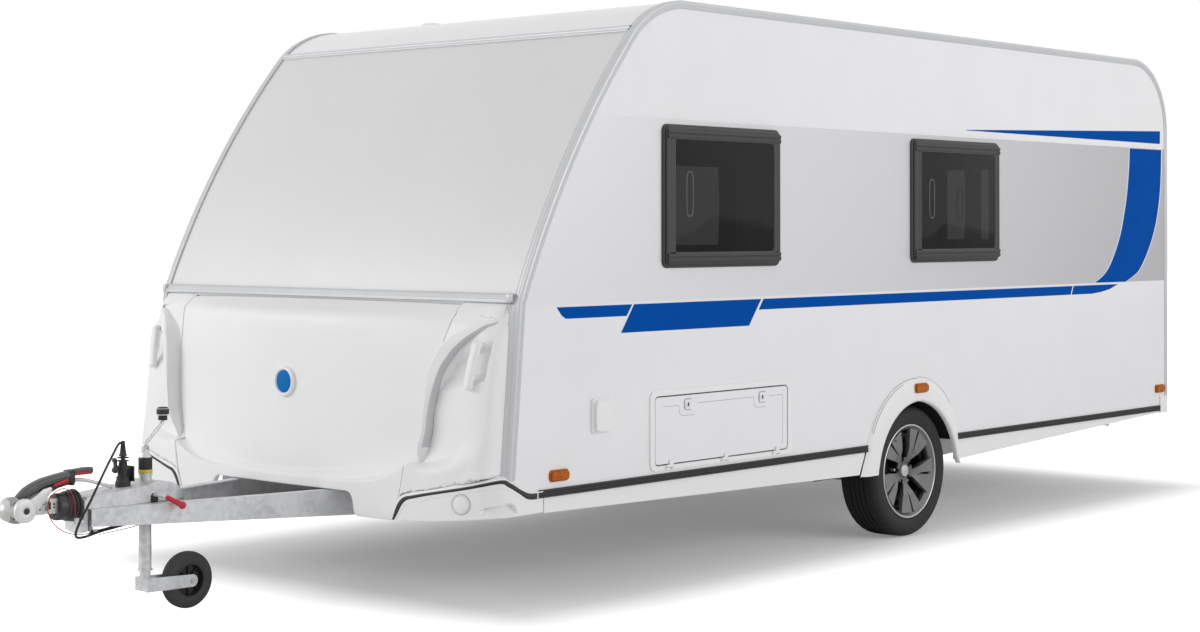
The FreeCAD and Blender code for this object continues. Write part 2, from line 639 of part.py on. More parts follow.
def make_door():
    s0, s1, z0, z1 = DOOR
    frame = side_prism(rounded(s0 - 24, s1 + 24, z0 - 14, z1 + 24, 70), -HALF - 8, -HALF)
    liner = side_prism(rounded(s0, s1, z0, z1, 60), -HALF, -INNER)
    opening = side_prism(rounded(s0 + 12, s1 - 12, z0 + 12, z1 - 12, 50), -1300, -1000)
    frame = frame.fuse(liner).cut(opening)
    inset = 12 + DOOR_GAP
    leaf = side_prism(rounded(s0 + inset, s1 - inset, z0 + inset, z1 - inset, 46), -HALF - 4, -INNER - 2)
    mid = (s0 + s1) / 2
    glass_box = (mid - 150, mid + 150, 1560, 2020)
    leaf = leaf.cut(side_prism(rounded(*glass_box, 40), -1300, -1000))
    g0, g1, g2, g3 = glass_box
    glass = side_prism(rounded(g0 - 22, g1 + 22, g2 - 22, g3 + 22, 50), -HALF - 16, -HALF - 4)
    handle = box(-HALF - 34, -HALF - 4, s1 - 150, s1 - 60, 1190, 1290)
    leaf = leaf.fuse(handle)
    for low, high in DOOR_PANELS:
        line = side_prism(rounded(s0 + 80, s1 - 80, low, high, 40), -HALF - 6, -HALF - 1)
        inner = side_prism(rounded(s0 + 90, s1 - 90, low + 10, high - 10, 32), -HALF - 7, -HALF)
        leaf = leaf.cut(line.cut(inner))
    for z in DOOR_HINGES:
        middle = V(DOOR_HINGE[0], DOOR_HINGE[1], z)
        frame_part, leaf_part = hinge(middle, V(0, 0, 1), V(0, -22, 0), V(0, 34, 0), V(-1, 0, 0))
        frame = frame.cut(knuckle_room(middle, V(0, 0, 1))).fuse(frame_part)
        leaf = leaf.fuse(leaf_part)
    return frame, leaf, glass


def make_flap():
    s0, s1, z0, z1 = FLAP
    frame = side_prism(rounded(s0 - 16, s1 + 16, z0 - 12, z1 + 14, 34), HALF, HALF + 7)
    frame = frame.cut(side_prism(rounded(s0 + 12, s1 - 12, z0 + 8, z1 - 10, 22), 1000, 1300))
    liner = side_prism(rounded(s0 + 1, s1 - 1, z0 + 1, z1 - 1, 24), INNER, HALF)
    liner = liner.cut(side_prism(rounded(s0 + 12, s1 - 12, z0 + 8, z1 - 10, 22), 1000, 1300))
    frame = frame.fuse(liner)
    leaf = side_prism(rounded(s0 + 18, s1 - 18, z0 + 14, z1 - 16, 18), INNER + 4, HALF + 5)
    for s, z in FLAP_LATCHES:
        leaf = leaf.fuse(side_prism(rounded(s - 22, s + 22, z - 22, z + 22, 6), HALF, HALF + 9))
    for s in FLAP_HINGES:
        middle = V(FLAP_HINGE[0], s, FLAP_HINGE[1])
        frame_part, leaf_part = hinge(middle, V(0, 1, 0), V(0, 0, -14), V(0, 0, 26), V(1, 0, 0))
        frame = frame.cut(knuckle_room(middle, V(0, 1, 0))).fuse(frame_part)
        leaf = leaf.fuse(leaf_part)
    return frame, leaf


# ---------------------------------------------------------------- wheels
SPOKE_COUNT = 5
BLADE = [(0.24, 70), (0.42, 77), (0.92, 86), (0.92, 67), (0.55, 63.5), (0.46, 58), (0.26, 52)]
ARM = [(0.24, 64), (0.44, 56), (0.55, 60), (0.92, 62.5), (0.92, 36.5), (0.66, 36.5), (0.30, 44)]


def polar_face(points, x):
    pts = [V(x, RIM_FLANGE_R * r * math.cos(math.radians(a)), RIM_FLANGE_R * r * math.sin(math.radians(a)))
           for r, a in points]
    return Part.Face(Part.makePolygon(pts + [pts[0]]))


def make_rim():
    """Alloy wheel about X, outer face towards +X: barrel, hub and five two-armed spokes."""
    f = RIM_FLANGE_R
    barrel = lathe([(f, 99), (f - 6, 101), (f - 14, 92), (f - 27, 78), (f - 32, 20), (f - 46, -40),
                    (f - 30, -86), (f - 12, -99), (f, -97), (f, -89), (BEAD_R - 1, -86), (BEAD_R - 1, -60),
                    (192, -36), (192, 30), (BEAD_R - 1, 52), (BEAD_R - 1, 86), (f, 89)],
                   V(0, 0, 0), V(1, 0, 0))
    dish = lathe([(0, 20), (0, 62), (40, 62), (60, 66), (120, 84), (212, 93), (206, 76), (130, 50), (72, 20)],
                 V(0, 0, 0), V(1, 0, 0))
    hub = Part.makeCylinder(66, 80, V(0, 0, 0), V(1, 0, 0)).common(dish)
    spokes = hub
    for k in range(SPOKE_COUNT):
        for outline in (BLADE, ARM):
            spoke = polar_face(outline, 0).extrude(V(110, 0, 0)).common(dish)
            spoke.rotate(V(0, 0, 0), V(1, 0, 0), k * 360 / SPOKE_COUNT)
            spokes = spokes.fuse(spoke)
    for k in range(SPOKE_COUNT):
        a = math.radians(30 + k * 72)
        hole = Part.makeCylinder(12, 120, V(-5, 56 * math.cos(a), 56 * math.sin(a)), V(1, 0, 0))
        spokes = spokes.cut(hole)
    rim = barrel.fuse(spokes)
    cap = lathe([(0, 60), (0, 72), (24, 70), (29, 64), (29, 60)], V(0, 0, 0), V(1, 0, 0))
    return rim.fuse(cap)


TREAD_GROOVES = (-40, -13, 13, 40)       # middles of the grooves round the tread
GROOVE_WIDE = 8
GROOVE_DEEP = 7


def make_tyre():
    w = TYRE_WIDTH / 2
    outline = [(BEAD_R, -85), (234, -88), ("arc", (276, -w), (310, -w + 9)), ("arc", (321, -84), (WHEEL_R, -62))]
    for x in TREAD_GROOVES:
        x0, x1 = x - GROOVE_WIDE / 2, x + GROOVE_WIDE / 2
        outline += [(WHEEL_R, x0), (WHEEL_R - GROOVE_DEEP, x0 + 1), (WHEEL_R - GROOVE_DEEP, x1 - 1), (WHEEL_R, x1)]
    outline += [(WHEEL_R, 62), ("arc", (321, 84), (310, w - 9)), ("arc", (276, w), (234, 88)), (BEAD_R, 85)]
    return lathe(outline, V(0, 0, 0), V(1, 0, 0))


def make_drum():
    """Brake drum with its hub, behind the spokes."""
    bore = SPINDLE_R + 0.05
    return lathe([(bore, -70), (bore, 10), (0, 10), (0, 18), (58, 18), (62, 8), (128, 2), (134, -6), (134, -60),
                  (120, -60), (116, -20), (50, -20), (46, -70)], V(0, 0, 0), V(1, 0, 0))


def place_wheel(shape, side):
    placed = shape.copy()
    placed.translate(V(WHEEL_X, 0, WHEEL_R))
    return placed if side == "left" else mirrored(placed)


# ---------------------------------------------------------------- chassis
def member_x(station):
    """Outer face of the left member at a station of the V-shaped drawbar."""
    share = (station - DRAWBAR_FRONT) / (KINK_STATION - DRAWBAR_FRONT)
    return MEMBER_FRONT_X + share * (MEMBER_KINK_X - MEMBER_FRONT_X)


# depth of a member below MEMBER_TOP at stations
MEMBER_DEPTH = [(DRAWBAR_FRONT, 68), (-2980, 112), (KINK_STATION, 160)]
REAR_DEPTH = [(KINK_STATION, 160), (-500, 190), (400, 190), (MEMBER_REAR, 90)]


def channel(length, depths, lie):
    """A C-channel along +Y from 0 to length, web on its +X face, with its depth given at stations."""
    def plate(x0, x1, top, bottom):
        pts = [(0, MEMBER_TOP - top)] + [(length, MEMBER_TOP - top)]
        pts += [(s, MEMBER_TOP - d + bottom) for s, d in reversed(depths)]
        return side_prism(pts, x0, x1)
    solid = plate(-MEMBER_WIDE, 0, 0, 0)
    pocket = plate(-MEMBER_WIDE - 1, -MEMBER_PLATE, MEMBER_PLATE, MEMBER_PLATE)
    beam = solid.cut(pocket)
    beam.rotate(V(0, 0, 0), V(0, 0, 1), lie)
    return beam


def make_member():
    run = V(MEMBER_KINK_X - MEMBER_FRONT_X, KINK_STATION - DRAWBAR_FRONT, 0)
    length = run.Length
    depths = [((s - DRAWBAR_FRONT) / (KINK_STATION - DRAWBAR_FRONT) * length, d) for s, d in MEMBER_DEPTH]
    lie = -math.degrees(math.atan2(run.x, run.y))
    drawbar = channel(length, depths, lie)
    drawbar.translate(V(MEMBER_FRONT_X, DRAWBAR_FRONT, 0))
    straight = channel(MEMBER_REAR - KINK_STATION, [(s - KINK_STATION, d) for s, d in REAR_DEPTH], 0)
    straight.translate(V(MEMBER_KINK_X, KINK_STATION, 0))
    return drawbar.fuse(straight).removeSplitter()


def make_cross_members():
    bars = []
    for station in (-1250, 1100, 2250):
        inside = MEMBER_KINK_X - MEMBER_WIDE
        bar = box(-inside, inside, station, station + 50, MEMBER_TOP - 60, MEMBER_TOP)
        pocket = box(-inside - 1, inside + 1, station + 5, station + 51, MEMBER_TOP - 55, MEMBER_TOP - 5)
        bars.append(bar.cut(pocket))
    return Part.makeCompound(bars)


AXLE_TUBE = (-165, 330)      # station and height of the axle tube
SWING_X = 850
SPINDLE_R = 20


def make_axle():
    """Hexagonal axle tube with its flange brackets to the members."""
    s, z = AXLE_TUBE
    ring = [V(-SWING_X, s + 62 * math.cos(math.radians(a)), z + 62 * math.sin(math.radians(a)))
            for a in range(0, 360, 60)]
    tube_solid = Part.Face(Part.makePolygon(ring + [ring[0]])).extrude(V(2 * SWING_X, 0, 0))
    bore = Part.makeCylinder(44, 2 * SWING_X + 2, V(-SWING_X - 1, s, z), V(1, 0, 0))
    axle = tube_solid.cut(bore)
    for x in (MEMBER_KINK_X + 1, -MEMBER_KINK_X - 11):
        plate = side_prism([(s - 110, 300), (s - 80, 262), (s + 80, 262), (s + 110, 300), (s + 110, 420),
                            (s - 110, 420)], x, x + 10)
        axle = axle.fuse(plate.cut(Part.makeCylinder(50, 20, V(x - 5, s, z), V(1, 0, 0))))
    return axle


OVERRUN_LEVER = (-3668, -3636, 402)      # stations and foot of the lever below the housing
BRAKE_ROD_R = 5


def make_brake_rod():
    """Rod from the overrun lever to the brake balance on the front of the axle tube."""
    s, z = AXLE_TUBE
    front = s - 62
    balance = box(-60, 60, front - 8, front + 12, z + 4, z + 36)
    start = V(0, OVERRUN_LEVER[1] + 0.2, OVERRUN_LEVER[2] + 18)
    return tube(start, V(0, front, z + 20), BRAKE_ROD_R).fuse(balance)


def swing_arm():
    """Trailing arm of the left wheel: boss on the axle tube, arm, and stub."""
    s, z = AXLE_TUBE
    x0, x1 = SWING_X, SWING_X + 46
    arm = side_prism([(s - 60, z - 30), ("arc", (s - 66, z), (s - 60, z + 30)), ("arc", (s, z + 66), (s + 50, z + 44)),
                      (0, WHEEL_R + 38), ("arc", (38, WHEEL_R), (0, WHEEL_R - 38)), (s + 50, z - 48),
                      ("arc", (s, z - 66), (s - 60, z - 30))], x0, x1)
    back_plate = Part.makeCylinder(118, 6, V(x1, 0, WHEEL_R), V(1, 0, 0))
    spindle = Part.makeCylinder(SPINDLE_R, WHEEL_X - x1 + 5, V(x1, 0, WHEEL_R), V(1, 0, 0))
    return arm.fuse(back_plate).fuse(spindle)


# ---------------------------------------------------------------- coupling and overrun device
TUBE_Z = 470
BALL_STATION = -4380
BALL_BORE = 25.2


HOUSING_FRONT = -4112
TUBE_R = 25


def make_housing():
    """Overrun housing: a pressed cover over the drawbar's point, with its rounded front plate."""
    cover = side_prism([(-4104, MEMBER_TOP), (-4104, 503), (-3830, 527), ("arc", (-3700, 521), (-3640, 474)),
                        (-3636, MEMBER_TOP)], -84, 84)
    flare = plan_prism([(-66, -4104), (66, -4104), (84, -3900), (84, -3720), ("arc", (0, -3626), (-84, -3720)),
                        (-84, -3900)], 400, 600)
    cover = cover.common(flare)
    nose = front_prism([(-66, 372), ("arc", (0, 360), (66, 372)), (66, 490), ("arc", (0, 508), (-66, 490))],
                       HOUSING_FRONT, DRAWBAR_FRONT - 0.5)
    post_hole = Part.makeCylinder(26, 400, V(0, JOCKEY_STATION, 300), V(0, 0, 1))
    tube_hole = Part.makeCylinder(TUBE_R + 0.4, 160, V(0, HOUSING_FRONT - 10, TUBE_Z), V(0, 1, 0))
    s0, s1, foot = OVERRUN_LEVER
    lever = box(-8, 8, s0, s1, foot, MEMBER_TOP + 4)
    return cover.fuse(nose).fuse(lever).fuse(make_clips()).cut(post_hole).cut(tube_hole)


def make_bellows():
    """Rubber gaiter round the drawtube: a cup and four folds that grow towards the housing."""
    back = HOUSING_FRONT
    pts = [(TUBE_R + 3, -4205), (50, -4205), (53, -4200), (53, -4168)]
    for k in range(4):
        s = -4164 + k * 13
        pts += [(47 + k * 2, s), (59 + k, s + 6.5)]
    pts += [(52, back), (TUBE_R + 3, back)]
    return lathe(pts, V(0, 0, TUBE_Z), V(0, 1, 0))


def make_coupling():
    """Ball coupling head with its friction discs, on the square drawtube."""
    z = TUBE_Z + 6
    head = lathe([(0, COUPLING_TIP), ("arc", (30, COUPLING_TIP + 12), (42, COUPLING_TIP + 45)),
                  (42, -4340), (34, -4300), (0, -4300)], V(0, 0, z), V(0, 1, 0))
    ball = V(0, BALL_STATION, z - 6)
    socket = Part.makeSphere(BALL_BORE, ball)
    mouth = Part.makeCylinder(BALL_BORE, 80, ball - V(0, 0, 80), V(0, 0, 1))
    body = box(-26, 26, -4330, -4205, z - 26, z + 30)
    shape = head.fuse(body).cut(socket).cut(mouth)
    for x in (38, -60):
        shape = shape.fuse(Part.makeCylinder(45, 22, V(x, -4366, z), V(1, 0, 0)))
    shape = shape.cut(socket).cut(mouth)
    drawtube = tube(V(0, -4206, TUBE_Z), V(0, -4020, TUBE_Z), TUBE_R)
    return shape.fuse(drawtube)


def make_coupling_handle():
    """Long stabiliser lever over the coupling, with its grip."""
    outline = [(-4372, 520), ("arc", (-4300, 575), (-4150, 604)), (-4041, 612), (-4041, 590), (-4132, 580),
               ("arc", (-4260, 558), (-4322, 514))]
    lever = side_prism(outline, -24, 24)
    lower = side_prism([(-4262, 562), (-4135, 590), (-4132, 552), (-4200, 540), (-4256, 526)], -18, 18)
    return lever.fuse(lower)


def make_handbrake():
    pivot = V(64, -3765, 484)
    elbow = V(112, -3740, 470)
    tip = V(138, -3640, 430)
    lever = tube(pivot + V(22, 0, 0), elbow, 6).fuse(Part.makeSphere(6, elbow)).fuse(tube(elbow, tip, 6))
    direction = tip.sub(elbow).normalize()
    grip = tube(elbow + direction * 30, tip, 11).fuse(Part.makeSphere(16, tip))
    return lever.fuse(grip)


# ---------------------------------------------------------------- jockey wheel
def make_jockey_tube():
    foot, top = V(0, JOCKEY_STATION, 176), V(0, JOCKEY_STATION, 566)
    outer = tube(foot, top, 25, 21.5)
    ring = tube(top, top + V(0, 0, 12), 28, 10)
    collar = tube(top + V(0, 0, 12), top + V(0, 0, 58), 26, 8)
    return outer.fuse(ring).fuse(collar)


def make_crank():
    s = JOCKEY_STATION
    shaft = rod([V(0, s, 560), V(0, s, 680), V(0, s + 84, 762), V(0, s + 84, 800)], 7, 14)
    knob = lathe([(0, 0), (17, 0), (17, 16), (24, 20), (24, 46), (18, 50), (0, 50)], V(0, s + 84, 770), V(0, 0, 1))
    return shaft.fuse(knob)


def make_fork():
    """Inner tube with the two arms that trail the wheel."""
    s = JOCKEY_STATION
    stem = tube(V(0, s, 96), V(0, s, 300), 21)
    arms = stem
    for x in (36, -41):
        outline = [(s - 18, 94), (s + JOCKEY_TRAIL - 4, 90),
                   ("arc", (s + JOCKEY_TRAIL + 24, JOCKEY_R), (s + JOCKEY_TRAIL - 4, 140)), (s - 18, 150)]
        arms = arms.fuse(side_prism(outline, x, x + 5))
    web = box(-36, 36, s - 18, s + 20, 96, 150)
    pin = Part.makeCylinder(6, 92, V(-46, s + JOCKEY_TRAIL, JOCKEY_R), V(1, 0, 0))
    return arms.fuse(web).fuse(pin)


def make_jockey_wheel():
    r = JOCKEY_R
    outline = [(6.08, -31), (24, -31), (24, -12), (60, -8), (64, -26), (82, -30), ("arc", (104, -28), (r - 2, -16)),
               (r, -10), (r, 10), (r - 2, 16), ("arc", (104, 28), (82, 30)), (64, 26), (60, 8), (24, 12), (24, 31),
               (6.08, 31)]
    return lathe(outline, V(0, JOCKEY_STATION + JOCKEY_TRAIL, r), V(1, 0, 0))


# ---------------------------------------------------------------- leads
LEAD_R = 5
LEAD_ROUTE = [
    (40, -3697, 394), (42, -3790, 386), (46, -3880, 379), (50, -3965, 373), (55, -4045, 362), (64, -4118, 349),
    (84, -4172, 358), (102, -4160, 418), (106, -4118, 484), (103, -4078, 550), (90, -4032, 612), (64, -3980, 662),
    (28, -3928, 700), (0, -3891, 688), (0, -3891, 642),
]
TRIP_R = 2
TRIP_ROUTE = [
    (24, -4060, 356), (27, -4112, 356), (32, -4165, 368), (38, -4212, 392), (42, -4248, 430), (46, -4266, 474),
    (48, -4256, 518), (52, -4214, 548), (58, -4172, 540), (63, -4158, 498), (63, -4153, 456), (63, -4149, 428),
]
PLUG = (0, -3891)            # x and station of the parked plug


def cord(name, route, r):
    """Tube through a route: each corner is an arc whose reach is 0.45 of its shorter run."""
    points = [V(*p) for p in route]
    edges, here = [], points[0]
    radii = []
    for before, corner, after in zip(points, points[1:], points[2:]):
        u = before.sub(corner)
        w = after.sub(corner)
        reach = 0.45 * min(u.Length, w.Length)
        u.normalize()
        w.normalize()
        half_turn = (math.pi - u.getAngle(w)) / 2
        bend = reach / math.tan(half_turn)
        radii.append(bend)
        start, end = corner + u * reach, corner + w * reach
        middle = corner + (u + w).normalize() * (bend / math.cos(half_turn) - bend)
        edges.append(Part.LineSegment(here, start).toShape())
        edges.append(Part.Arc(start, middle, end).toShape())
        here = end
    edges.append(Part.LineSegment(here, points[-1]).toShape())
    path = Part.Wire(edges)
    section = Part.Wire(Part.makeCircle(r, points[0], points[1].sub(points[0])))
    tube_solid = path.makePipeShell([section], True, False)
    share = tube_solid.Volume / (math.pi * r * r * path.Length)
    print("%s radii %s, length %.0f, volume share %.4f" % (
        name, " ".join("%.0f" % b for b in radii), path.Length, share))
    return tube_solid


def make_plug():
    x, s = PLUG
    return lathe([(0, 560), (21, 560), (21, 590), (17, 596), (17, 616), (8, 622), (8, 642), (0, 642)],
                 V(x, s, 0), V(0, 0, 1))


def make_park_socket():
    x, s = PLUG
    base = lathe([(0, 514), (30, 514), (30, 540), (26, 546), (26, 560), (0, 560)], V(x, s, 0), V(0, 0, 1))
    lid = box(x - 30, x + 30, s + 28, s + 34, 540, 600)
    ear = box(x - 12, x + 12, s + 22, s + 30, 536, 552)
    return base.fuse(ear).fuse(lid)


def make_clips():
    """Lead clip and cable anchor below the housing."""
    x, s, z = LEAD_ROUTE[0]
    lead_clip = box(x - 9, x + 9, s, s + 14, z - 9, MEMBER_TOP + 8)
    x, s, z = TRIP_ROUTE[0]
    trip_clip = box(x - 6, x + 6, s, s + 10, z - 6, MEMBER_TOP + 8)
    x, s, z = TRIP_ROUTE[-1]
    hook = box(x - 6, x + 4, s - 4, s + 10, z - 24, z)
    strap = box(x - 6, x, s, HOUSING_FRONT + 4, z - 22, z - 10)
    return lead_clip.fuse(trip_clip).fuse(hook.fuse(strap))


# ---------------------------------------------------------------- corner steadies
STEADIES = [("front", -2330, -1), ("rear", 2190, 1)]
STEADY_X = 760
STEADY_LENGTH = 470
STEADY_PIVOT_Z = FLOOR_Z - 52


def steady(station, way):
    """Left steady: base channel on the floor, and the leg folded up against it.

    way is -1 where the leg's foot points forwards when folded, 1 where it points to the tail."""
    x = STEADY_X
    base = box(x - 40, x + 40, -20, STEADY_LENGTH, FLOOR_Z - 6, FLOOR_Z)
    for side in (x - 40, x + 34):
        base = base.fuse(box(side, side + 6, -20, 40, FLOOR_Z - 75, FLOOR_Z - 6))
    pin = Part.makeCylinder(7, 92, V(x - 46, 0, STEADY_PIVOT_Z), V(1, 0, 0))
    base = base.fuse(pin)
    leg = box(x - 27, x + 27, -14, STEADY_LENGTH - 40, STEADY_PIVOT_Z - 22, STEADY_PIVOT_Z + 20)
    leg = leg.cut(box(x - 23, x + 23, -20, STEADY_LENGTH, STEADY_PIVOT_Z - 18, STEADY_PIVOT_Z + 30))
    leg = leg.cut(Part.makeCylinder(7.05, 120, V(x - 60, 0, STEADY_PIVOT_Z), V(1, 0, 0)))
    foot = box(x - 60, x + 60, STEADY_LENGTH - 40, STEADY_LENGTH - 34, STEADY_PIVOT_Z - 60, STEADY_PIVOT_Z + 20)
    leg = leg.fuse(foot)
    placed = []
    for shape in (base, leg):
        piece = shape if way > 0 else shape.mirror(V(0, 0, 0), V(0, 1, 0))
        piece = piece.copy()
        piece.translate(V(0, station, 0))
        placed.append(piece)
    return placed


# ---------------------------------------------------------------- lamps and fittings
LAMP_BASE = 6                # thickness of a lamp's base
LAMP_PROUD = 16


def side_lamp(station, z, x):
    base = side_prism(rounded(station - 56, station + 56, z - 24, z + 24, 16), x, x + LAMP_BASE)
    lens = side_prism(rounded(station - 50, station + 50, z - 18, z + 18, 12), x, x + LAMP_PROUD)
    return base.fuse(lens)


def make_side_lamps():
    lamps = []
    for station, z, x in ((-2618, 541, HALF), (5, 744, HALF + 22), (2604, 590, HALF)):
        lamp = side_lamp(station, z, x)
        lamps += [lamp, mirrored(lamp)]
    return Part.makeCompound(lamps)


REAR_LENSES = (668, 805, 942)            # heights of the three round lenses of a cluster


def make_rear_lamps():
    """Two rear clusters and the high brake lamp."""
    s = TAIL_WALL
    cluster = front_prism(rounded(930, 1060, 600, 1010, 50), s, s + 18)
    for z in REAR_LENSES:
        lens = lathe([(0, 10), (55, 10), (55, 26), (48, 33), (30, 38), (0, 38)], V(995, s, z), V(0, 1, 0))
        cluster = cluster.fuse(lens)
    high = box(-180, 180, s - 12, s + 14, 2086, 2112).cut(body_slab(-200, 200))
    return Part.makeCompound([cluster, mirrored(cluster), high])


def make_roof_fittings():
    lids = []
    for s0, s1, x0, x1 in ROOF_HATCHES:
        flange = plan_prism(rounded(x0, x1, s0, s1, 60), ROOF_Z, ROOF_Z + 14)
        dome = [wire_of(flat(rounded(x0 + inset, x1 - inset, s0 + inset, s1 - inset, 60),
                             lambda x, s: V(x, s, ROOF_Z + rise)))
                for inset, rise in ((24, 14), (30, 30), (70, 46))]
        lids.append(flange.fuse(Part.makeLoft(dome, True, True)).removeSplitter())
    vent = lathe([(0, 0), (34, 0), (34, 24), (62, 30), (62, 40), (40, 54), (0, 58)],
                 V(-760, -1500, ROOF_Z), V(0, 0, 1))
    return Part.makeCompound(lids + [vent])


VENT_FEET = (620, 1420)      # lower edges of the two refrigerator vents
VENT_HIGH = 210
LOUVRES = 7


def vent(z0):
    """Vent grille with slanted louvres, laid out on the left like the other side pieces."""
    grille = side_prism(rounded(1560, 2010, z0, z0 + VENT_HIGH, 18), HALF, HALF + 12)
    pitch = (VENT_HIGH - 40) / LOUVRES
    for k in range(LOUVRES):
        z = z0 + 22 + k * pitch
        grille = grille.cut(front_prism([(HALF + 4, z + 6), (HALF + 13, z), (HALF + 13, z + 12), (HALF + 4, z + 18)],
                                        1590, 1980))
    return grille


def make_wall_fittings():
    """Water inlet cover on the left, fridge vents and a socket box on the right."""
    inlet = side_prism(rounded(-2422, -2298, 695, 838, 12), HALF, HALF + 9)
    inlet = inlet.fuse(side_prism(rounded(-2412, -2308, 703, 830, 18), HALF, HALF + 26))
    socket = side_prism(rounded(-2420, -2300, 700, 840, 12), HALF, HALF + 9)
    socket = socket.fuse(side_prism(rounded(-2410, -2310, 708, 832, 18), HALF, HALF + 26))
    return Part.makeCompound([inlet, mirrored(socket)] + [mirrored(vent(z)) for z in VENT_FEET])


# ---------------------------------------------------------------- build
# a piece on the left is cut to sit against the piece on the right
FITS = [
    ("locker_bulkhead", "front_wall"),
    ("corner_covers", "side_wall_left"), ("corner_covers", "side_wall_right"),
    ("rub_strips", "side_wall_left"), ("rub_strips", "side_wall_right"),
    ("rub_strips", "corner_covers"),
    ("skirts", "wheel_arches"), ("skirts", "rub_strips"), ("skirts", "corner_covers"),
    ("rear_bumper", "side_wall_left"), ("rear_bumper", "side_wall_right"),
    ("rear_bumper", "rear_wall"), ("rear_bumper", "skirts"),
    ("front_moulding", "corner_covers"), ("front_moulding", "edge_trims"),
    ("grab_handles", "front_moulding"),
    ("chassis_member_left", "axle_beam"), ("chassis_member_right", "axle_beam"),
    ("brake_rod", "axle_beam"),
    ("handbrake_lever", "overrun_housing"), ("handbrake_lever", "chassis_member_left"),
    ("coupling_handle", "coupling_head"),
    ("park_socket", "overrun_housing"),
]


def make_pieces():
    """All nodes by name."""
    front, roof, rear = make_shell()
    lid, moulding = make_locker()
    moulding = moulding.fuse(fin()).fuse(mirrored(fin())).cut(pocket()).cut(mirrored(pocket()))
    frames, panes = make_windows()
    door_frame, door_leaf, door_glass = make_door()
    flap_frame, flap = make_flap()
    rim, tyre, drum = make_rim(), make_tyre(), make_drum()
    member = make_member()
    pieces = {
        "side_wall_left": side_wall("left"),
        "side_wall_right": side_wall("right"),
        "front_wall": front,
        "roof_panel": roof,
        "rear_wall": rear,
        "floor_panel": make_floor(),
        "locker_bulkhead": make_bulkhead(),
        "wheel_housings": both(wheel_housing()),
        "edge_trims": both(edge_trim()),
        "cross_trims": cross_trims(),
        "wheel_arches": both(arch_cover()),
        "skirts": Part.makeCompound([both(skirt(True)), both(skirt(False))]),
        "rub_strips": Part.makeCompound([both(rub_strip(CORNER_BACK, -444)), both(rub_strip(366, 2603)),
                                         both(corner_strip())]),
        "corner_covers": both(corner_cover()),
        "rear_bumper": rear_corner(),
        "front_moulding": moulding,
        "gas_locker_lid": lid,
        "grab_handles": both(grab_handle()),
        "window_frames": frames,
        "window_panes": panes,
        "door_frame": door_frame,
        "entrance_door": door_leaf,
        "door_window": door_glass,
        "flap_frame": flap_frame,
        "service_flap": flap,
        "chassis_member_left": member,
        "chassis_member_right": mirrored(member),
        "cross_members": make_cross_members(),
        "axle_beam": make_axle(),
        "brake_rod": make_brake_rod(),
        "swing_arms": both(swing_arm()),
        "overrun_housing": make_housing(),
        "bellows": make_bellows(),
        "coupling_head": make_coupling(),
        "coupling_handle": make_coupling_handle(),
        "handbrake_lever": make_handbrake(),
        "jockey_tube": make_jockey_tube(),
        "jockey_crank": make_crank(),
        "jockey_fork": make_fork(),
        "jockey_wheel": make_jockey_wheel(),
        "lead_cable": cord("lead_cable", LEAD_ROUTE, LEAD_R),
        "lead_plug": make_plug(),
        "park_socket": make_park_socket(),
        "breakaway_cable": cord("breakaway_cable", TRIP_ROUTE, TRIP_R),
        "side_lamps": make_side_lamps(),
        "rear_lamps": make_rear_lamps(),
        "roof_fittings": make_roof_fittings(),
        "wall_fittings": make_wall_fittings(),
    }
    for side in ("left", "right"):
        pieces["rim_" + side] = place_wheel(rim, side)
        pieces["tyre_" + side] = place_wheel(tyre, side)
        pieces["brake_drum_" + side] = place_wheel(drum, side)
    bases = []
    for name, station, way in STEADIES:
        base, leg = steady(station, way)
        bases += [base, mirrored(base)]
        pieces["steady_leg_%s_left" % name] = leg
        pieces["steady_leg_%s_right" % name] = mirrored(leg)
    pieces["steady_bases"] = Part.makeCompound(bases)
    return pieces


def main():
    pieces = make_pieces()
    for name, neighbour in FITS:
        pieces[name] = fitted(pieces[name], pieces[neighbour])
    for name, shape in pieces.items():
        export(name, shape)


main()
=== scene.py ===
"""Looks of a single-axle touring caravan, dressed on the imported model. Metres; -Y is the drawbar's end."""
import json
import math
import random

import bmesh
import bpy
from mathutils import Matrix, Vector

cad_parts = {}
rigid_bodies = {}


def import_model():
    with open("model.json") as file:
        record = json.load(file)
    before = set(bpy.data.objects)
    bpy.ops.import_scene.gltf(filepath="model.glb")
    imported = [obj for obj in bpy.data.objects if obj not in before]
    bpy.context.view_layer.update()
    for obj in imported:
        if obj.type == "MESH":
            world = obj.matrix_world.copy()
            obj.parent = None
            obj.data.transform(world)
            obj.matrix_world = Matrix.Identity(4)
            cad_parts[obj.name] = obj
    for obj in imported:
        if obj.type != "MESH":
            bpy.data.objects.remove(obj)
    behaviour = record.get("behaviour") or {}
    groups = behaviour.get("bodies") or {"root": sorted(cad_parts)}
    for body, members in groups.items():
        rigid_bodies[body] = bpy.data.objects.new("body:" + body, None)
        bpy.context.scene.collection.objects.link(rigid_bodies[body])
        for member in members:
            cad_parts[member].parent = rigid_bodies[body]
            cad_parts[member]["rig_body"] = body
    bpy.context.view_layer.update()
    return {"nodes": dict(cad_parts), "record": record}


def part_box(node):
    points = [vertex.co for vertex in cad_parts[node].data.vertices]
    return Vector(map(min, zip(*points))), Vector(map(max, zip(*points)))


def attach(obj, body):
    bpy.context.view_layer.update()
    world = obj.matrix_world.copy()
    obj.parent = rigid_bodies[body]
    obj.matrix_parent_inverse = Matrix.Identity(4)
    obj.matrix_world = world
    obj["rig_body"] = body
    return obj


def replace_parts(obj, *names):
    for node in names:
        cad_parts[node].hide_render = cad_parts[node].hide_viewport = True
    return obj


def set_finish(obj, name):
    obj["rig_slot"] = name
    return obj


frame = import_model()
nodes = frame["nodes"]
random.seed(7)

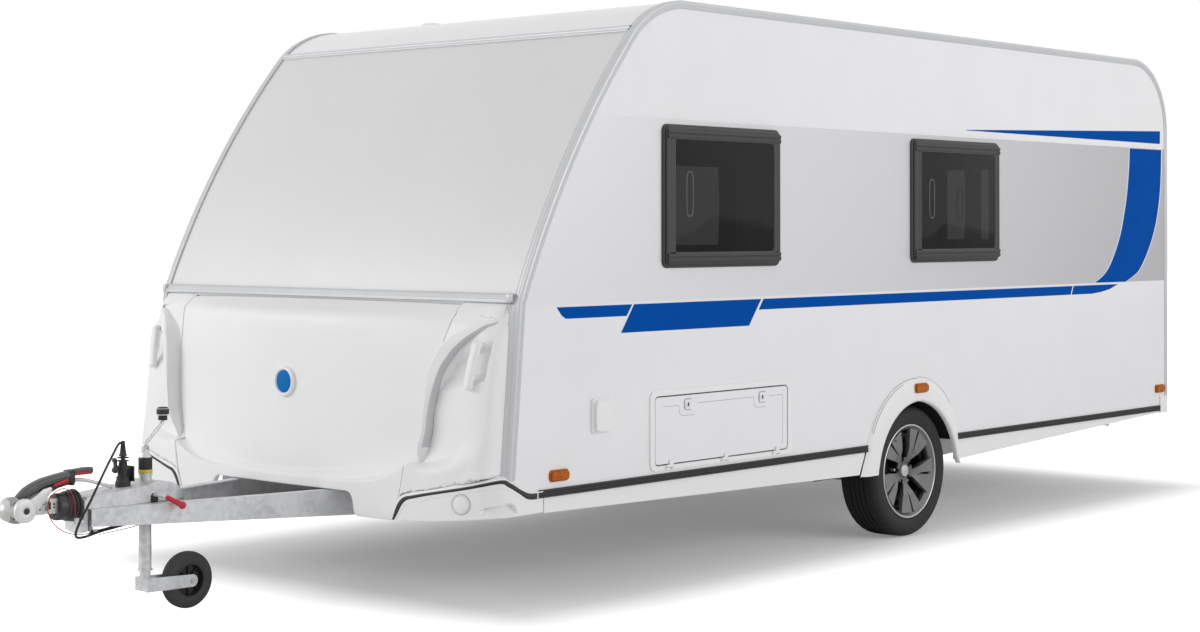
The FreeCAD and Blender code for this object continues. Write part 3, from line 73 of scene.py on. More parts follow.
# ------------------------------------------------------------------ places read from the frame
AXLE_Y = (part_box("tyre_left")[0][1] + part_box("tyre_left")[1][1]) / 2
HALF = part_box("side_wall_left")[1][0] * 1000
WHEEL_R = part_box("tyre_left")[1][2] * 500
WHEEL_X = 1020               # from the caravan's middle to a wheel's middle, millimetres
JOCKEY_POST = -3785          # station of the jockey wheel's tube
JOCKEY_TRAIL = 203           # how far its wheel trails behind the tube
JOCKEY_R = 115
TAIL = 2700                  # station of the rear wall


def at(x, s, z):
    """A point given in millimetres, with its station measured from the axle."""
    return Vector((x / 1000, s / 1000 + AXLE_Y, z / 1000))


def side_place(sign, out=0.0):
    """Places (station, height) pairs on a side wall's face, out millimetres proud of it; the left side is 1."""
    return lambda s, z, h=0.0: at(sign * (HALF + out + h), s, z)


def rear_place(x, z, h=0.0):
    return at(x, TAIL + h, z)


def smooth(t):
    t = min(1.0, max(0.0, t))
    return t * t * (3 - 2 * t)


def mix(a, b, t):
    return a + (b - a) * t


def between(a, b, t):
    """The place at a share t of the way between two places."""
    return tuple(mix(p, q, t) for p, q in zip(a, b))


def power(value, exponent):
    """A power that keeps the sign, for rounded squares."""
    return math.copysign(abs(value) ** exponent, value)


def around(n, count=None):
    """Cosine and sine of n equal steps round a circle."""
    return [(math.cos(2 * math.pi * k / n), math.sin(2 * math.pi * k / n)) for k in range(count or n)]


def step_at(table, place):
    """Value of a two-column table at a place, straight between its rows."""
    k = max(i for i in range(len(table) - 1) if table[i][0] <= place)
    (z0, a), (z1, b) = table[k:k + 2]
    return mix(a, b, min(1, (place - z0) / (z1 - z0)))


def table_at(table, z):
    """Row of a table at height z: its columns run smoothly between the table's rows."""
    if z <= table[0][0]:
        return table[0][1:]
    if z >= table[-1][0]:
        return table[-1][1:]
    k = max(i for i in range(len(table) - 1) if table[i][0] <= z)
    z0, z1 = table[k][0], table[k + 1][0]
    d = z1 - z0
    t = (z - z0) / d
    values = []
    for c in range(1, len(table[0])):
        p0, p1 = table[k][c], table[k + 1][c]
        chord = (p1 - p0) / d
        before = (p0 - table[k - 1][c]) / (z0 - table[k - 1][0]) if k else chord
        after = (table[k + 2][c] - p1) / (table[k + 2][0] - z1) if k + 2 < len(table) else chord
        m0, m1 = (before + chord) / 2, (chord + after) / 2
        values.append(p0 * (2 * t ** 3 - 3 * t ** 2 + 1) + m0 * d * (t ** 3 - 2 * t ** 2 + t)
                      + p1 * (3 * t ** 2 - 2 * t ** 3) + m1 * d * (t ** 3 - t ** 2))
    return values


# ------------------------------------------------------------------ material tools
def put(tree, socket, source):
    """Links an input to an output, or sets it to a value; None leaves it."""
    if isinstance(source, bpy.types.NodeSocket):
        tree.links.new(source, socket)
    elif source is not None:
        socket.default_value = source


def node(tree, kind, *sources, **values):
    """A shader node: sources go to its inputs in order, values to its settings or inputs by name."""
    made = tree.nodes.new("ShaderNode" + kind)
    for key, value in values.items():
        if hasattr(made, key):
            setattr(made, key, value)
        else:
            put(tree, made.inputs[key.replace("_", " ")], value)
    for socket, source in zip(made.inputs, sources):
        put(tree, socket, source)
    return made


def maths(tree, operation, *sources):
    return node(tree, "Math", *sources, operation=operation).outputs[0]


def noise(tree, place, scale, detail):
    return node(tree, "TexNoise", place, Scale=scale, Detail=detail).outputs[0]


def relief(tree, height, strength, distance=0.001):
    return node(tree, "Bump", Strength=strength, Distance=distance, Height=height).outputs[0]


def new_material(name):
    """A material, with its tree, its shader and the socket of the object coordinates."""
    mat = bpy.data.materials.new(name)
    mat.use_nodes = True
    tree = mat.node_tree
    tree.nodes.clear()
    shader = node(tree, "BsdfPrincipled")
    node(tree, "OutputMaterial", shader.outputs[0])
    return mat, tree, shader, node(tree, "TexCoord").outputs["Object"]


def dress(tree, shader, **inputs):
    for key, source in inputs.items():
        put(tree, shader.inputs[key.replace("_", " ")], source)


def srgb(r, g, b):
    """Display values 0-255 to scene-linear."""
    out = []
    for c in (r, g, b):
        c /= 255
        out.append(c / 12.92 if c <= 0.04045 else ((c + 0.055) / 1.055) ** 2.4)
    return tuple(out)


def ramp(tree, source, *stops):
    """Colours along a value. A stop is its place, a display colour and, where wanted, a share of its light."""
    made = node(tree, "ValToRGB", source)
    while len(made.color_ramp.elements) < len(stops):
        made.color_ramp.elements.new(0.5)
    for element, (place, colour, *share) in zip(made.color_ramp.elements, stops):
        element.position = place
        element.color = (*(c * (share[0] if share else 1) for c in srgb(*colour)), 1)
    return made.outputs[0]


def surface(name, colour, scale=40.0, rough=(0.3, 0.4), metallic=0.0, bump=0.0, bump_scale=300.0, coat=0.0,
            specular=0.5, stretch=(1, 1, 1), variation=0.93):
    """A painted, plastic or metal surface: colour varied by noise, uneven gloss, fine relief."""
    mat, tree, shader, place = new_material(name)
    place = node(tree, "Mapping", place, Scale=stretch).outputs[0]
    cloud = noise(tree, place, scale, 4.0)
    gloss = node(tree, "MapRange", noise(tree, place, scale * 3.1, 3.0), To_Min=rough[0], To_Max=rough[1]).outputs[0]
    dress(tree, shader, Base_Color=ramp(tree, cloud, (0.35, colour, variation), (0.65, colour)), Roughness=gloss,
          Metallic=metallic, Coat_Weight=coat, Coat_Roughness=0.06, Specular_IOR_Level=specular)
    if bump:
        dress(tree, shader, Normal=relief(tree, noise(tree, place, bump_scale, 2.0), bump))
    return mat


def band_material():
    """Silver band: pale at the front end and greyer towards the tail."""
    mat, tree, shader, place = new_material("band_silver")
    along = node(tree, "MapRange", node(tree, "SeparateXYZ", place).outputs[1],
                 at(0, -TAIL, 0).y, at(0, TAIL, 0).y).outputs[0]
    sway = maths(tree, "MULTIPLY_ADD", noise(tree, place, 9.0, 5.0), 0.03, along)
    dress(tree, shader, Roughness=0.3, Metallic=0.1,
          Base_Color=ramp(tree, sway, (0.0, (232, 232, 234)), (0.45, (216, 215, 218)), (1.0, (184, 184, 186))))
    return mat


def spangle_material(name, colour, dark):
    """Hot-dip galvanised steel: patches of crystal, dull streaks and fine pits."""
    mat, tree, shader, place = new_material(name)
    crystal = node(tree, "TexVoronoi", place, Scale=55.0)
    grey = node(tree, "SeparateXYZ", crystal.outputs["Color"]).outputs[0]
    both = maths(tree, "MULTIPLY_ADD", grey, 0.35, noise(tree, place, 9.0, 6.0))
    dress(tree, shader, Base_Color=ramp(tree, both, (0.35, dark), (0.85, colour)), Metallic=0.55,
          Roughness=node(tree, "MapRange", both, To_Min=0.32, To_Max=0.6).outputs[0],
          Normal=relief(tree, noise(tree, place, 420.0, 2.0), 0.12))
    return mat


def pane_material():
    """Smoked acrylic: dark, glossy, and a little see-through."""
    mat, tree, shader, place = new_material("window_pane")
    haze = noise(tree, place, 1.6, 2.0)
    dress(tree, shader, Base_Color=ramp(tree, haze, (0.3, (26, 26, 27)), (0.7, (32, 32, 33))),
          Roughness=0.05, Alpha=0.86, Specular_IOR_Level=0.15)
    return mat


def lens_material(name, colour, deep):
    """Moulded lamp lens with a prism pattern inside."""
    mat, tree, shader, place = new_material(name)
    prism = node(tree, "TexVoronoi", place, Scale=170.0).outputs["Distance"]
    dress(tree, shader, Base_Color=ramp(tree, prism, (0.05, colour), (0.5, deep)), Normal=relief(tree, prism, 0.35),
          Roughness=0.25, Specular_IOR_Level=0.25)
    return mat


def cloth_material(name, colour, shade):
    mat, tree, shader, place = new_material(name)
    warp = node(tree, "TexWave", place, Scale=420.0, Distortion=0.6).outputs["Fac"]
    dress(tree, shader, Base_Color=ramp(tree, warp, (0.2, shade), (0.8, colour)),
          Normal=relief(tree, warp, 0.3, 0.0006), Roughness=0.9, Sheen_Weight=0.2)
    return mat


def rim_material():
    """Alloy: grey on its outer faces, darker the deeper it lies inside the wheel."""
    mat, tree, shader, place = new_material("alloy_darker_inward")
    away = maths(tree, "ABSOLUTE", node(tree, "SeparateXYZ", place).outputs[0])
    deep = node(tree, "MapRange", away, 1.040, 1.112).outputs[0]
    sway = maths(tree, "MULTIPLY_ADD", noise(tree, place, 240.0, 3.0), 0.05, deep)
    dress(tree, shader, Metallic=0.35, Roughness=0.34, Coat_Weight=0.25,
          Base_Color=ramp(tree, sway, (0.0, (22, 22, 23)), (0.5, (44, 44, 45)), (0.72, (104, 104, 105)),
                          (1.0, (122, 122, 123))))
    return mat


# plain surfaces: display colour, scale of its clouds and roughness, then what else differs from the usual
SURFACES = {
    "panel_white": ((239, 239, 241), 3, (0.24, 0.27), dict(coat=0.2, variation=0.98)),
    "panel_silver": ((220, 220, 220), 2, (0.34, 0.38), dict(metallic=0.1, variation=0.98)),
    "moulding_white": ((240, 240, 241), 3, (0.42, 0.5), dict(coat=0.04, specular=0.3, variation=0.985)),
    "trim_grey": ((206, 207, 209), 8, (0.3, 0.42), dict(metallic=0.2, stretch=(1, 0.1, 1), variation=0.96)),
    "black_plastic": ((34, 34, 35), 60, (0.45, 0.6), dict(bump=0.15, bump_scale=900)),
    "floor_board": ((70, 62, 54), 14, (0.6, 0.8), dict(bump=0.2)),
    "inner_board": ((150, 135, 115), 6, (0.4, 0.6), dict(bump=0.03, stretch=(1, 0.2, 1))),
    "window_frame": ((62, 61, 61), 30, (0.35, 0.5), dict(specular=0.3, bump=0.04)),
    "steel_dark": ((58, 58, 60), 80, (0.4, 0.6), dict(metallic=0.3, bump=0.1)),
    "alloy": ((96, 96, 97), 40, (0.25, 0.38), dict(metallic=0.55, coat=0.3)),
    "tyre": ((44, 44, 45), 50, (0.6, 0.8), dict(specular=0.3, bump=0.3, bump_scale=500)),
    "rubber": ((34, 34, 35), 50, (0.5, 0.7), dict(bump=0.2, bump_scale=700)),
    "steel_zinc": ((206, 206, 204), 60, (0.22, 0.36), dict(metallic=0.5)),
    "red_cable": ((178, 24, 46), 90, (0.4, 0.5), {}),
    "red_grip": ((196, 22, 44), 60, (0.3, 0.42), dict(bump=0.05)),
    "stripe_blue": ((1, 78, 166), 4, (0.5, 0.6), dict(specular=0.02, variation=0.97)),
    # painted shade: a greyer white for the brow's flank, standing in for the shade in its hollow
    "brow_painted_shade": ((203, 203, 206), 5, (0.42, 0.5), dict(specular=0.3, variation=0.98)),
    "emblem_blue": ((18, 112, 186), 9, (0.4, 0.5), dict(specular=0.05, variation=0.96)),
    "stripe_white": ((240, 240, 242), 4, (0.25, 0.3), dict(variation=0.99)),
    "jockey_tyre_rubber": ((66, 66, 67), 60, (0.55, 0.75), dict(specular=0.3, bump=0.2, bump_scale=600)),
    # grey of the window's loop handle; as the ring round each pane it is a painted highlight
    "fitting_grey": ((88, 88, 89), 40, (0.3, 0.4), dict(specular=0.3)),
    "gap_seal": ((70, 70, 72), 60, (0.5, 0.7), {}),
    # painted shade: grey for the fine moulded lines and grooves on white mouldings
    "seam_grey": ((172, 173, 175), 60, (0.5, 0.7), {}),
    "yellow_ring": ((220, 200, 60), 60, (0.35, 0.45), {}),
    # bright alloy of the rim's lip and hub cap; on the rim's bevelled edges it is a painted highlight
    "alloy_bright": ((205, 205, 206), 60, (0.2, 0.3), dict(metallic=0.5)),
    "lever_grey": ((84, 84, 85), 70, (0.32, 0.44), dict(bump=0.04)),
    "disc_silver": ((228, 228, 229), 40, (0.3, 0.4), dict(metallic=0.15)),
    "neck_silver": ((222, 222, 222), 50, (0.25, 0.4), dict(metallic=0.25)),
    "nose_grey": ((150, 151, 153), 50, (0.2, 0.34), dict(metallic=0.6)),
    "gaiter_rubber": ((52, 52, 53), 60, (0.35, 0.5), dict(bump=0.1, bump_scale=600)),
}
MATS = {name: surface(name, colour, scale, rough, **rest) for name, (colour, scale, rough, rest) in SURFACES.items()}
MATS["window_pane"] = pane_material()
MATS["steel_galvanised"] = spangle_material("steel_galvanised", (214, 215, 217), (188, 189, 192))
MATS["amber_lens"] = lens_material("amber_lens", (242, 142, 16), (168, 84, 4))
MATS["red_lens"] = lens_material("red_lens", (190, 18, 26), (110, 8, 12))
MATS["band_silver"] = band_material()
MATS["alloy_darker_inward"] = rim_material()
MATS["curtain_cloth"] = cloth_material("curtain_cloth", (120, 119, 117), (92, 91, 90))

slot_of = {s["node"]: s["material_slot"] for s in frame["record"]["subparts"]}
SLOTS = set(slot_of.values())
for name, obj in nodes.items():
    obj.data.materials.clear()
    obj.data.materials.append(MATS[slot_of[name]])


# ------------------------------------------------------------------ mesh tools
def piece(name, verts, faces, material, body="caravan", slot=None, shade=True):
    """A mesh object that rides on a body. Vertices are points in metres; material is a name in MATS, and it is
    the slot too where the record has one of that name."""
    mesh = bpy.data.meshes.new(name)
    mesh.from_pydata([tuple(v) for v in verts], [], faces)
    mesh.materials.append(MATS[material])
    mesh.update()
    bm = bmesh.new()
    bm.from_mesh(mesh)
    bmesh.ops.remove_doubles(bm, verts=bm.verts, dist=1e-6)
    bmesh.ops.recalc_face_normals(bm, faces=bm.faces)
    bm.to_mesh(mesh)
    bm.free()
    if shade:
        mesh.shade_smooth()
    obj = bpy.data.objects.new(name, mesh)
    bpy.context.scene.collection.objects.link(obj)
    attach(obj, body)
    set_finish(obj, slot or (material if material in SLOTS else "moulding_white"))
    return obj


def grid_faces(rows, columns, wrap_rows=False, wrap_columns=False):
    faces = []
    for r in range(rows if wrap_rows else rows - 1):
        for c in range(columns if wrap_columns else columns - 1):
            r1, c1 = (r + 1) % rows, (c + 1) % columns
            faces.append((r * columns + c, r * columns + c1, r1 * columns + c1, r1 * columns + c))
    return faces


def sharp(obj, angle=35):
    """Edges steeper than angle stay crisp."""
    obj.data.set_sharp_from_angle(angle=math.radians(angle))
    return obj


def grid_piece(name, rows, material, wrap_rows=False, wrap_columns=False, crisp=None, **kw):
    """A skin over rows of points. crisp is the angle from which its edges stay sharp."""
    verts = [p for row in rows for p in row]
    obj = piece(name, verts, grid_faces(len(rows), len(rows[0]), wrap_rows, wrap_columns), material, **kw)
    return sharp(obj, crisp) if crisp else obj


def section_piece(name, profile, xs, material, **kw):
    """A profile of (station, height) pairs carried across at the given x places."""
    return grid_piece(name, [[at(x, s, z) for s, z in profile] for x in xs], material, **kw)


def bevel(obj, width, segments=2, angle=30):
    """Softens an object's edges, width in millimetres."""
    mod = obj.modifiers.new("soft_edges", "BEVEL")
    mod.width = width / 1000
    mod.segments = segments
    mod.limit_method = "ANGLE"
    mod.angle_limit = math.radians(angle)
    return mod


def solidify(obj, thickness, offset=-1):
    mod = obj.modifiers.new("skin", "SOLIDIFY")
    mod.thickness = thickness / 1000
    mod.offset = offset
    mod.use_even_offset = False
    return obj


def rounded_path(a0, a1, b0, b1, r, n=6):
    """Closed rounded rectangle: points with their outward directions."""
    out = []
    for ca, cb, start in ((a1 - r, b0 + r, -90), (a1 - r, b1 - r, 0), (a0 + r, b1 - r, 90), (a0 + r, b0 + r, 180)):
        for k in range(n + 1):
            a = math.radians(start + 90 * k / n)
            out.append((ca + r * math.cos(a), cb + r * math.sin(a), math.cos(a), math.sin(a)))
    return out


def rim_piece(name, path, profile, place, material, cap=False, **kw):
    """Sweeps a profile of (inset, height) pairs round a closed path. cap closes the innermost ring."""
    verts = [place(a - na * d, b - nb * d, h) for a, b, na, nb in path for d, h in profile]
    faces = grid_faces(len(path), len(profile), wrap_rows=True)
    if cap:
        last = len(profile) - 1
        faces.append([r * len(profile) + last for r in range(len(path))])
    return piece(name, verts, faces, material, **kw)


def lathe_piece(name, profile, centre, axis, material, n=48, **kw):
    """Turns (radius, along) pairs in millimetres about an axis through a point in metres."""
    axis = Vector(axis).normalized()
    side = axis.orthogonal().normalized()
    other = axis.cross(side)
    rows = []
    for c, s in around(n):
        out = side * c + other * s
        rows.append([centre + out * (r / 1000) + axis * (h / 1000) for r, h in profile])
    return grid_piece(name, rows, material, wrap_rows=True, **kw)


def rounded_solid(name, bm, edges, radius, material, angle, clamp=False, move=Vector((0, 0, 0)), **kw):
    """The closed solid in a bmesh, with the given edges rounded, moved into place."""
    bmesh.ops.bevel(bm, geom=edges, offset=radius / 1000, segments=3, profile=0.5, affect="EDGES",
                    clamp_overlap=clamp)
    bm.verts.index_update()
    verts = [v.co + move for v in bm.verts]
    faces = [[v.index for v in f.verts] for f in bm.faces]
    bm.free()
    return sharp(piece(name, verts, faces, material, **kw), angle)


def soft_box(name, corner, size, radius, material, **kw):
    """A box with rounded edges; corner and size in millimetres, the corner's station from the axle."""
    bm = bmesh.new()
    bmesh.ops.create_cube(bm, size=1)
    for v in bm.verts:
        v.co = Vector([(v.co[i] + 0.5) * size[i] / 1000 for i in range(3)])
    return rounded_solid(name, bm, bm.edges[:], radius, material, 50, move=at(*corner), **kw)


def slab(name, outline, x0, x1, radius, material, **kw):
    """A plate cut to an outline of (station, height) pairs between two x places, with rounded edges."""
    x0, x1 = sorted((x0, x1))
    bm = bmesh.new()
    low, high = ([bm.verts.new(at(x, s, z)) for s, z in outline] for x in (x0, x1))
    bm.faces.new(low)
    bm.faces.new(list(reversed(high)))
    for k in range(len(outline)):
        n = (k + 1) % len(outline)
        bm.faces.new((low[k], low[n], high[n], high[k]))
    bmesh.ops.recalc_face_normals(bm, faces=bm.faces)
    edges = [e for e in bm.edges if len(e.link_faces) == 2 and e.calc_face_angle(0) > math.radians(25)]
    return rounded_solid(name, bm, edges, radius, material, 45, clamp=True, **kw)


def nurbs_curve(name, route, radius, rings, steps, order):
    """A round curve through control points in millimetres."""
    curve = bpy.data.curves.new(name, "CURVE")
    curve.dimensions = "3D"
    curve.bevel_depth = radius / 1000
    curve.bevel_resolution = rings
    curve.resolution_u = steps
    spline = curve.splines.new("NURBS")
    spline.points.add(len(route) - 1)
    for point, place in zip(spline.points, route):
        point.co = (*at(*place), 1)
    spline.order_u = min(order, len(route))
    spline.use_endpoint_u = True
    return curve


def rod_piece(name, route, radius, material, order=3, **kw):
    """A bent rod or wire through control points in millimetres, as a mesh."""
    curve = nurbs_curve(name, route, radius, 4, 12, order)
    curve.use_fill_caps = True
    temp = bpy.data.objects.new(name, curve)
    mesh = bpy.data.meshes.new_from_object(temp)
    bpy.data.objects.remove(temp)
    verts = [v.co.copy() for v in mesh.vertices]
    faces = [list(f.vertices) for f in mesh.polygons]
    bpy.data.meshes.remove(mesh)
    return piece(name, verts, faces, material, **kw)


def merged(name, parts, slot, body="caravan"):
    """Several pieces of one body as one object, each keeping its material."""
    target = parts[0]
    mats, verts, faces, slots, flags = [], [], [], [], []
    for part in parts:
        base = len(verts)
        mesh = part.data
        verts += [part.matrix_world @ v.co for v in mesh.vertices]
        for f in mesh.polygons:
            faces.append([base + i for i in f.vertices])
            mat = mesh.materials[f.material_index]
            if mat not in mats:
                mats.append(mat)
            slots.append(mats.index(mat))
            flags.append(f.use_smooth)
    mesh = bpy.data.meshes.new(name)
    mesh.from_pydata([tuple(v) for v in verts], [], faces)
    for mat in mats:
        mesh.materials.append(mat)
    mesh.polygons.foreach_set("material_index", slots)
    mesh.polygons.foreach_set("use_smooth", flags)
    mesh.set_sharp_from_angle(angle=math.radians(40))
    old = target.data
    target.data = mesh
    target.name = name
    bpy.data.meshes.remove(old)
    for part in parts[1:]:
        bpy.data.objects.remove(part)
    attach(target, body)
    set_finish(target, slot)
    return target


def mirror_copy(name, source):
    """The same piece on the other side."""
    mesh = source.data.copy()
    mesh.name = name
    mesh.transform(Matrix.Scale(-1, 4, (1, 0, 0)))
    mesh.flip_normals()
    obj = bpy.data.objects.new(name, mesh)
    bpy.context.scene.collection.objects.link(obj)
    for mod in source.modifiers:
        copy = obj.modifiers.new(mod.name, mod.type)
        for key in mod.bl_rna.properties.keys():
            if not mod.bl_rna.properties[key].is_readonly:
                setattr(copy, key, getattr(mod, key))
    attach(obj, source["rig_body"])
    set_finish(obj, source["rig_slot"])
    return obj


def clip(points, limit, keep_less):
    """Cuts a polygon of (station, height) pairs at a station."""
    out = []
    inside = (lambda p: p[0] <= limit) if keep_less else (lambda p: p[0] >= limit)
    for p, q in zip(points, points[1:] + points[:1]):
        if inside(p):
            out.append(p)
        if inside(p) != inside(q):
            out.append((limit, mix(p[1], q[1], (limit - p[0]) / (q[0] - p[0]))))
    return out


def decal(name, outlines, place, material, slot="panel_white", body="caravan"):
    """Flat foil cut to outlines of (station, height) pairs."""
    verts, faces = [], []
    for outline in outlines:
        if len(outline) >= 3:
            faces.append(list(range(len(verts), len(verts) + len(outline))))
            verts += [place(s, z) for s, z in outline]
    return piece(name, verts, faces, material, body=body, slot=slot, shade=False)


# ------------------------------------------------------------------ stage, camera, cords
FLOOR_GLOW = 0.1             # how much whiter the floor is seen than lit, below the object
GLOW_FROM, GLOW_TO = -0.25, 0.95    # metres outside the footprint over which that rises to white
WORLD_LIGHT = 0.5


def floor_material():
    """Pale floor, seen as white away from the object; below it, it keeps the shadow."""
    mat, tree, shader, place = new_material("studio_floor")
    axes = node(tree, "SeparateXYZ", place)
    # how far a place lies outside the body's footprint
    squares = []
    for axis, middle, half in ((0, 0.0, 1.15), (1, AXLE_Y - 0.05, 2.75)):
        away = maths(tree, "ABSOLUTE", maths(tree, "SUBTRACT", axes.outputs[axis], middle))
        outside = maths(tree, "MAXIMUM", maths(tree, "SUBTRACT", away, half), 0.0)
        squares.append(maths(tree, "POWER", outside, 2.0))
    reach = maths(tree, "SQRT", maths(tree, "ADD", *squares))
    glow = node(tree, "MapRange", reach, GLOW_FROM, GLOW_TO, FLOOR_GLOW, 1.0, interpolation_type="SMOOTHSTEP")
    seen = maths(tree, "MULTIPLY", node(tree, "LightPath").outputs["Is Camera Ray"], glow.outputs[0])
    pale = (255, 255, 255)
    dress(tree, shader, Base_Color=ramp(tree, noise(tree, place, 0.8, 3.0), (0.3, pale, 0.88), (0.7, pale, 0.92)),
          Roughness=0.9, Specular_IOR_Level=0.1, Emission_Color=(1, 1, 1, 1), Emission_Strength=seen)
    return mat


def stage_scene():
    bpy.ops.mesh.primitive_plane_add(size=120, location=(0, 0, -0.0005))
    floor = bpy.context.object
    floor.name = "studio_floor"
    floor.data.materials.append(floor_material())
    world = bpy.data.worlds.new("studio")
    bpy.context.scene.world = world
    world.use_nodes = True
    tree = world.node_tree
    tree.nodes.clear()
    light, white = (node(tree, "Background", (1, 1, 1, 1), strength).outputs[0] for strength in (WORLD_LIGHT, 1.0))
    rays = node(tree, "LightPath").outputs
    seen = maths(tree, "MAXIMUM", maths(tree, "MAXIMUM", rays["Is Camera Ray"], rays["Is Glossy Ray"]),
                 rays["Is Transmission Ray"])
    node(tree, "OutputWorld", node(tree, "MixShader", seen, light, white).outputs[0])


def area_light(name, place, target, size, power):
    lamp = bpy.data.lights.new(name, "AREA")
    lamp.shape = "RECTANGLE"
    lamp.size, lamp.size_y = size
    lamp.energy = power
    obj = bpy.data.objects.new(name, lamp)
    bpy.context.scene.collection.objects.link(obj)
    obj.location = place
    obj.rotation_euler = (Vector(target) - Vector(place)).to_track_quat("-Z", "Y").to_euler()


stage_scene()
area_light("key_front", (-6.0, -10.5, 4.6), (0, -2.5, 1.2), (8, 5), 500)
area_light("fill_side", (10.5, 2.2, 4.0), (1, 1.2, 1.2), (9, 4), 330)
area_light("top_soft", (0.0, 0.0, 9.0), (0, 0, 0), (10, 12), 60)

# the camera is solved from the photograph, its focal length in pixels of an image 1200 wide
FOCAL, IMAGE_WIDE, SENSOR = 2077.3, 1200, 36
CAMERA_PLACE = (6893, -8763, 1535)
CAMERA_TILT, CAMERA_TURN = 90.55, 41.13

camera = bpy.data.cameras.new("camera")
camera.sensor_width = SENSOR
camera.lens = FOCAL / IMAGE_WIDE * SENSOR
camera.shift_x = -0.02225
camera.shift_y = -0.089
view = bpy.data.objects.new("camera", camera)
bpy.context.scene.collection.objects.link(view)
view.location = at(*CAMERA_PLACE)
view.rotation_euler = (math.radians(CAMERA_TILT), 0, math.radians(CAMERA_TURN))
bpy.context.scene.camera = view
bpy.context.scene.view_settings.view_transform = "Standard"


LEAD_ROUTE = [(40, -3697, 394), (42, -3790, 386), (46, -3880, 379), (50, -3965, 373), (55, -4045, 362),
              (64, -4118, 349), (84, -4172, 358), (102, -4160, 418), (106, -4118, 484), (103, -4078, 550),
              (90, -4032, 612), (64, -3980, 662), (28, -3928, 700), (0, -3891, 688), (0, -3891, 642)]
TRIP_ROUTE = [(24, -4060, 356), (27, -4112, 356), (32, -4165, 368), (38, -4212, 392), (42, -4248, 430),
              (46, -4266, 474), (48, -4256, 518), (52, -4214, 548), (58, -4172, 540), (63, -4158, 498),
              (63, -4153, 456), (63, -4149, 428)]


def cord_piece(name, route, diameter, slot, cad_node):
    curve = nurbs_curve(name, route, diameter / 2, 5, 10, 3)
    curve.materials.append(MATS[slot])
    obj = bpy.data.objects.new(name, curve)
    bpy.context.scene.collection.objects.link(obj)
    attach(obj, "caravan")
    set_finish(obj, slot)
    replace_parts(obj, cad_node)
    return obj


lead = cord_piece("lead_cable_cord", LEAD_ROUTE, 10, "rubber", "lead_cable")
trip = cord_piece("breakaway_cord", TRIP_ROUTE, 4, "red_cable", "breakaway_cable")


# ------------------------------------------------------------------ nose: locker lid and its moulding
# the lid's face, from the bottom up: height, station in the middle, and the shoulder's x and station
LID_FACE = [(340, -3094, 690, -3072), (440, -3094, 722, -3070), (520, -3093, 735, -3058), (590, -3090, 760, -3028),
            (680, -3082, 800, -3004), (790, -3074, 828, -2994), (890, -3070, 836, -2988), (1000, -3070, 840, -2981),
            (1090, -3071, 850, -2964), (1140, -3070, 862, -2949), (1168, -3064, 871, -2939),
            (1186, -3049, 878, -2926), (1197, -3020, 890, -2914), (1206, -2985, 912, -2902),
            (1222, -2925, 955, -2882), (1240, -2860, 1005, -2856)]
# half the lid's width at a height
LID_HALF = [(340, 676), (367, 682), (420, 701), (462, 719), (530, 735), (588, 744), (602, 752), (622, 770),
            (740, 819), (849, 833), (960, 836), (1068, 845), (1140, 866), (1188, 877), (1226, 868), (1245, 866)]
LID_GAP = 6
LID_BACK = -2880
LIP_FOOT = 462
# the lip's lower edge: it drops to a lobe between the drawbar's members and the corner covers
LIP_EDGE = [(0, LIP_FOOT), (400, LIP_FOOT), (414, 460), (430, 451), (444, 436), (454, 417), (463, 396), (471, 378),
            (480, 368), (492, 364), (740, 366)]


def lid_face(x, z):
    middle, shoulder, station = table_at(LID_FACE, z)
    return middle + (station - middle) * (x / shoulder) ** 2


def lid_half(z):
    return step_at(LID_HALF, z)


def lip_front(x):
    return -3107 + 23 * (x / 748) ** 2


def lid_column(u):
    """Section of the lid at a share u of its half width, from the lip's foot up to the back edge."""
    top, crease = 508 + 86 * abs(u) ** 6.2, 525 + 72 * abs(u) ** 1.62
    low = step_at(LIP_EDGE, abs(u * lid_half(400)))
    foot, front = lip_front(u * lid_half(low)), lip_front(u * 740)
    back = lid_face(u * lid_half(crease), crease)
    section = [(low + 3, foot + 26), (low, foot + 22), (low, foot + 5), (low + 1.5, foot + 1.5), (low + 5, foot)]
    for t in (0.2, 0.4, 0.6, 0.8):
        z = mix(low + 5, top - 12, t)
        section.append((z, lip_front(u * lid_half(z))))
    for angle in range(0, 91, 15):
        a = math.radians(angle)
        section.append((top - 12 + 10 * math.sin(a), front + 10 * (1 - math.cos(a))))
    for t in (0.2, 0.45, 0.7, 0.88):
        lift = t * t * (3 - 2 * t) * 0.4 + t * 0.6
        section.append((mix(top - 2, crease - 2, t * lift), mix(front + 10, back - 1.5, t)))
    section += [(crease - 1, back - 0.8), (crease + 1.5, back)]
    heights = [mix(crease + 1.5, 668, t) for t in (0.12, 0.3, 0.55, 0.8, 1.0)]
    heights += [*range(690, 1130, 22), 1134, 1148, 1158, 1168, 1177, 1186, 1192, 1197, 1202, 1210, 1218, 1226, 1234,
                1240]
    section += [(z, lid_face(u * lid_half(z), z)) for z in heights]
    rows = [(u * lid_half(z), s, z) for z, s in section]
    # the back edge is cut straight across
    kept = [row for row in rows if row[1] <= LID_BACK or row[2] < 1100]
    last, beyond = kept[-1], rows[min(len(kept), len(rows) - 1)]
    edge = between(last, beyond, (LID_BACK - last[1]) / (beyond[1] - last[1]) if beyond is not last else 0)
    while len(kept) < len(rows) - 1:
        kept.append(between(kept[-1], edge, 0.5))
    return kept + [edge]


